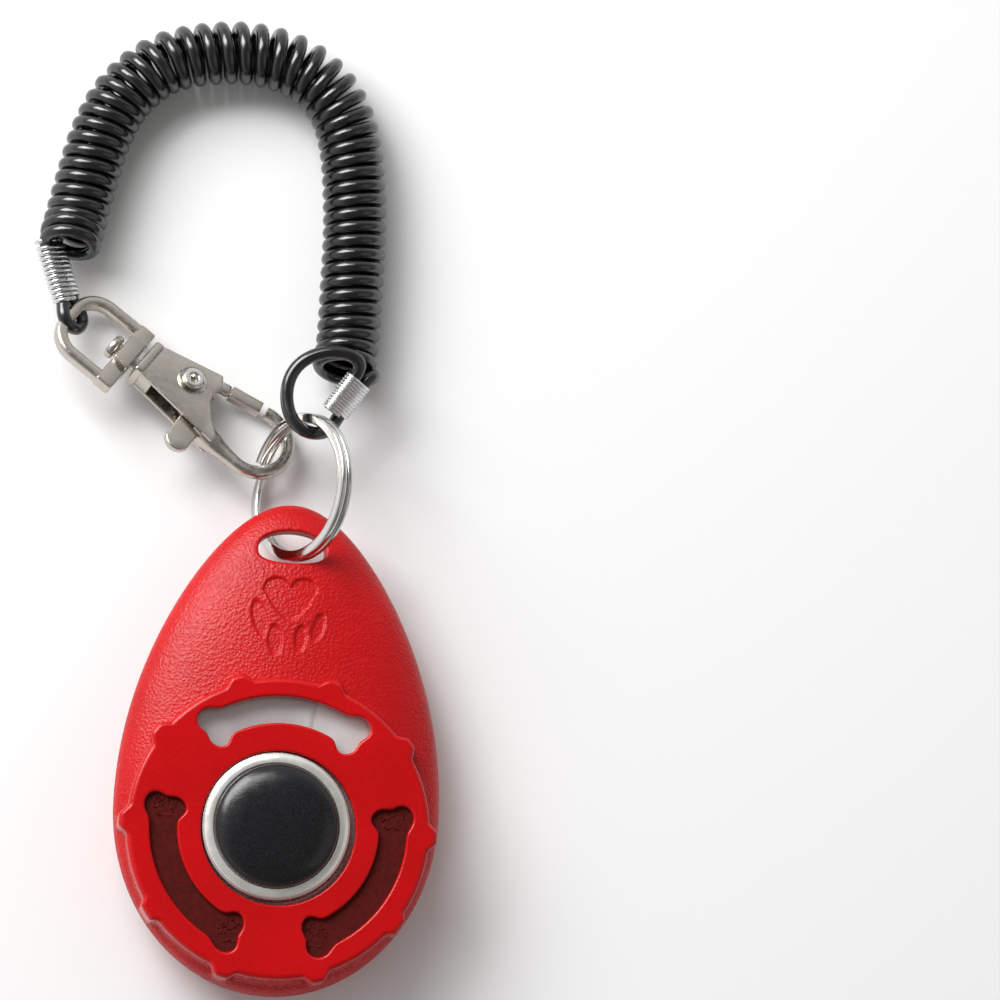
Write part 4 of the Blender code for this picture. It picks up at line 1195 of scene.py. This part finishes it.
def eye_end_lay():
    """From the cut end in the sleeve, round the eye's bar, and out of the sleeve's far end."""
    bar, heading, pair, start, end = eye_end_places()
    lay = [start - heading * 0.9 - pair * STACK, start - pair * STACK, (start + end) / 2.0 - pair * STACK]
    lay += [end - pair * STACK, end + heading * 0.6 - pair * 1.15]
    for k in range(6, -1, -1):
        turn = math.radians(90.0 - 30.0 * k)
        lay.append(bar + (heading * math.cos(turn) + pair * math.sin(turn)) * EYE_LOOP_RADIUS)
    lay += [end + heading * 0.6 + pair * 1.15, end + pair * STACK]
    lay += [(start + end) / 2.0 + pair * STACK, start + pair * STACK]
    return lay


def ring_end_lay():
    """Into the sleeve's upper end, round the open loop, and back to the cut end."""
    axis, stack, start, end = ring_end_places()
    lay = [end - stack * STACK, (start + end) / 2.0 - stack * STACK, start - stack * STACK]
    lay.append(start - stack * STACK - axis * 0.5)
    lay += [Vector(p) for p in RING_LOOP_LAY]
    lay += [end + stack * STACK + axis * 0.9, end + stack * STACK]
    lay += [(start + end) / 2.0 + stack * STACK, start + stack * STACK, start + stack * STACK - axis * 0.2]
    return lay


def helix():
    """Turns of cord round the coil's lay, close on the arms and a little open round the top."""
    lay = smooth_path([Vector(place) for place in COIL_LAY], 24)
    lengths = [0.0]
    for a, b in zip(lay, lay[1:]):
        lengths.append(lengths[-1] + (b - a).length)
    total = lengths[-1]
    places = np.linspace(0.0, total, 2000)
    opened = smooth_step(places, 0.2 * total, 0.36 * total)
    opened = opened * (1.0 - smooth_step(places, 0.5 * total, 0.66 * total))
    pitches = COIL_PITCH_ARM + (COIL_PITCH_TOP - COIL_PITCH_ARM) * opened
    turned = np.concatenate([[0.0], np.cumsum(360.0 / pitches[1:] * np.diff(places))])
    whole = 360.0 * round(turned[-1] / 360.0) + COIL_END - COIL_START
    angles = COIL_START + np.linspace(0.0, whole, int(whole / 360.0 * COIL_STEPS))
    along_lay = np.interp(angles - COIL_START, turned * whole / turned[-1], places)
    columns = np.array([tuple(p) for p in lay]).T

    def at(s):
        return Vector([np.interp(s, lengths, column) for column in columns])

    points = []
    for angle, s in zip(np.radians(angles), along_lay):
        along = (at(min(total, s + 0.5)) - at(max(0.0, s - 0.5))).normalized()
        left = Vector((-along.y, along.x, 0.0)).normalized()
        out = left * math.cos(angle) + along.cross(left) * math.sin(angle)
        points.append(at(s) + out * COIL_TURN_RADIUS)
    return points


def relaxed(points, step, passes):
    """The open line with evenly spaced points and its bends eased; both ends stay."""
    line = np.array([tuple(p) for p in points])
    lengths = np.concatenate([[0.0], np.cumsum(np.linalg.norm(np.diff(line, axis=0), axis=1))])
    places = np.linspace(0.0, lengths[-1], int(lengths[-1] / step) + 1)
    even = np.column_stack([np.interp(places, lengths, line[:, k]) for k in range(3)])
    for _ in range(passes):
        even[1:-1] = (even[:-2] + 2.0 * even[1:-1] + even[2:]) / 4.0
    return [Vector(p) for p in even]


def make_cord(paint):
    """The whole cord as one line: eye loop, curly coil, ring loop."""
    coil = helix()
    at_eye = smooth_path(eye_end_lay(), 4)
    first = coil[0]
    onward = (at_eye[-1] - at_eye[-2]).normalized()
    rise = [at_eye[-1], at_eye[-1] + onward * 1.0, first - (coil[1] - first).normalized() * 0.9, first]
    into_coil = smooth_path(rise, 5)
    at_ring = smooth_path(ring_end_lay(), 4)
    axis, stack, _, _ = ring_end_places()
    last = coil[-1]
    entry = at_ring[0]
    fall = [last, last + (last - coil[-4]).normalized() * 1.2, entry + axis * 2.0 - stack * 0.6, entry]
    out_of_coil = smooth_path(fall, 5)
    eye_tail = relaxed(at_eye + into_coil[1:] + coil[1:TAIL_TURN], TAIL_STEP, TAIL_EASING)
    ring_tail = relaxed(coil[-TAIL_TURN:] + out_of_coil[1:] + at_ring[1:], TAIL_STEP, TAIL_EASING)
    points = eye_tail + coil[TAIL_TURN:-TAIL_TURN] + ring_tail
    cord = tube("curly_cord", points, CORD, 4, paint)
    ride(cord, "lanyard", "black_cord", "wrist_coil", "ring_loop", "eye_loop")
    length = sum((b - a).length for a, b in zip(points, points[1:]))
    return cord, points, length


def wound_sleeve(name, start, end, stack, wire, turns, loose, paint):
    """Wire wound round two stacked cords from start to end; loose turns are more open."""
    axis = (end - start).normalized()
    side = axis.cross(stack)
    around = (CORD + wire) / 2.0
    pitch = (end - start).length / turns
    points = []
    for k in range(int((turns + loose) * SLEEVE_STEPS) + 1):
        turn = 2.0 * math.pi * k / SLEEVE_STEPS
        place = k / SLEEVE_STEPS
        along = pitch * min(place, turns) + LOOSE_PITCH * max(0.0, place - turns)
        up = STACK * math.tanh(2.5 * math.sin(turn)) + around * math.sin(turn)
        points.append(start + axis * along + stack * up + side * around * math.cos(turn))
    return tube(name, points, wire + 0.05, 3, paint)


def make_sleeves(paint):
    """The wound-wire sleeve at each end of the cord."""
    _, _, pair, start, end = eye_end_places()
    eye = wound_sleeve("eye_sleeve_wire", end, start, pair, EYE_SLEEVE_WIRE, 11.0, 1.5, paint)
    ride(eye, "lanyard", "sleeve_wire", "eye_sleeve")
    _, stack, start, end = ring_end_places()
    ring = wound_sleeve("ring_sleeve_wire", start, end, stack, RING_SLEEVE_WIRE, 12.5, 0.0, paint)
    ride(ring, "lanyard", "sleeve_wire", "ring_sleeve")
    return eye, ring


# === frame nodes kept as they are
def paint_kept_nodes():
    """The hidden steel parts keep their solids and get a turned-steel finish."""
    screw = bright_steel("screw_zinc", (0.55, 0.55, 0.54), 0.35, 0.2)
    for name in ("case_screw_1", "case_screw_2", "case_screw_3", "button_retainer"):
        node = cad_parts[name]
        node.data.materials.clear()
        node.data.materials.append(screw)


def main():
    make_camera()
    make_stage()
    cord, points, length = make_cord(cord_plastic())
    eye_sleeve, ring_sleeve = make_sleeves(bright_steel("sleeve_bright", (0.72, 0.72, 0.72), 0.22, 0.1))
    body_red = red_plastic("case_red_grained", 0.75)
    # The recess floors get a dark red of painted shade.
    make_front_shell(body_red, red_plastic("case_red_platform", 0.12), recess_painted_shade())
    make_back_shell(body_red)
    make_click_plate(sheet_steel(), cup_steel())
    make_button(button_plastic())
    make_split_ring(bright_steel("ring_bright", (0.66, 0.65, 0.63), 0.12, 0.06))
    make_clasp_body(worn_nickel("clasp_nickel", (0.55, 0.515, 0.47), 0.24))
    make_trigger(worn_nickel("lever_nickel", (0.53, 0.495, 0.45), 0.24))
    make_rivet(worn_nickel("rivet_nickel", (0.78, 0.77, 0.75), 0.16))
    make_trigger_spring(bright_steel("spring_steel_wire", (0.5, 0.5, 0.5), 0.3, 0.1))
    make_swivel_eye(worn_nickel("eye_nickel", (0.56, 0.52, 0.475), 0.22))
    make_swivel_post(worn_nickel("post_nickel", (0.52, 0.49, 0.45), 0.24))
    paint_kept_nodes()


main()
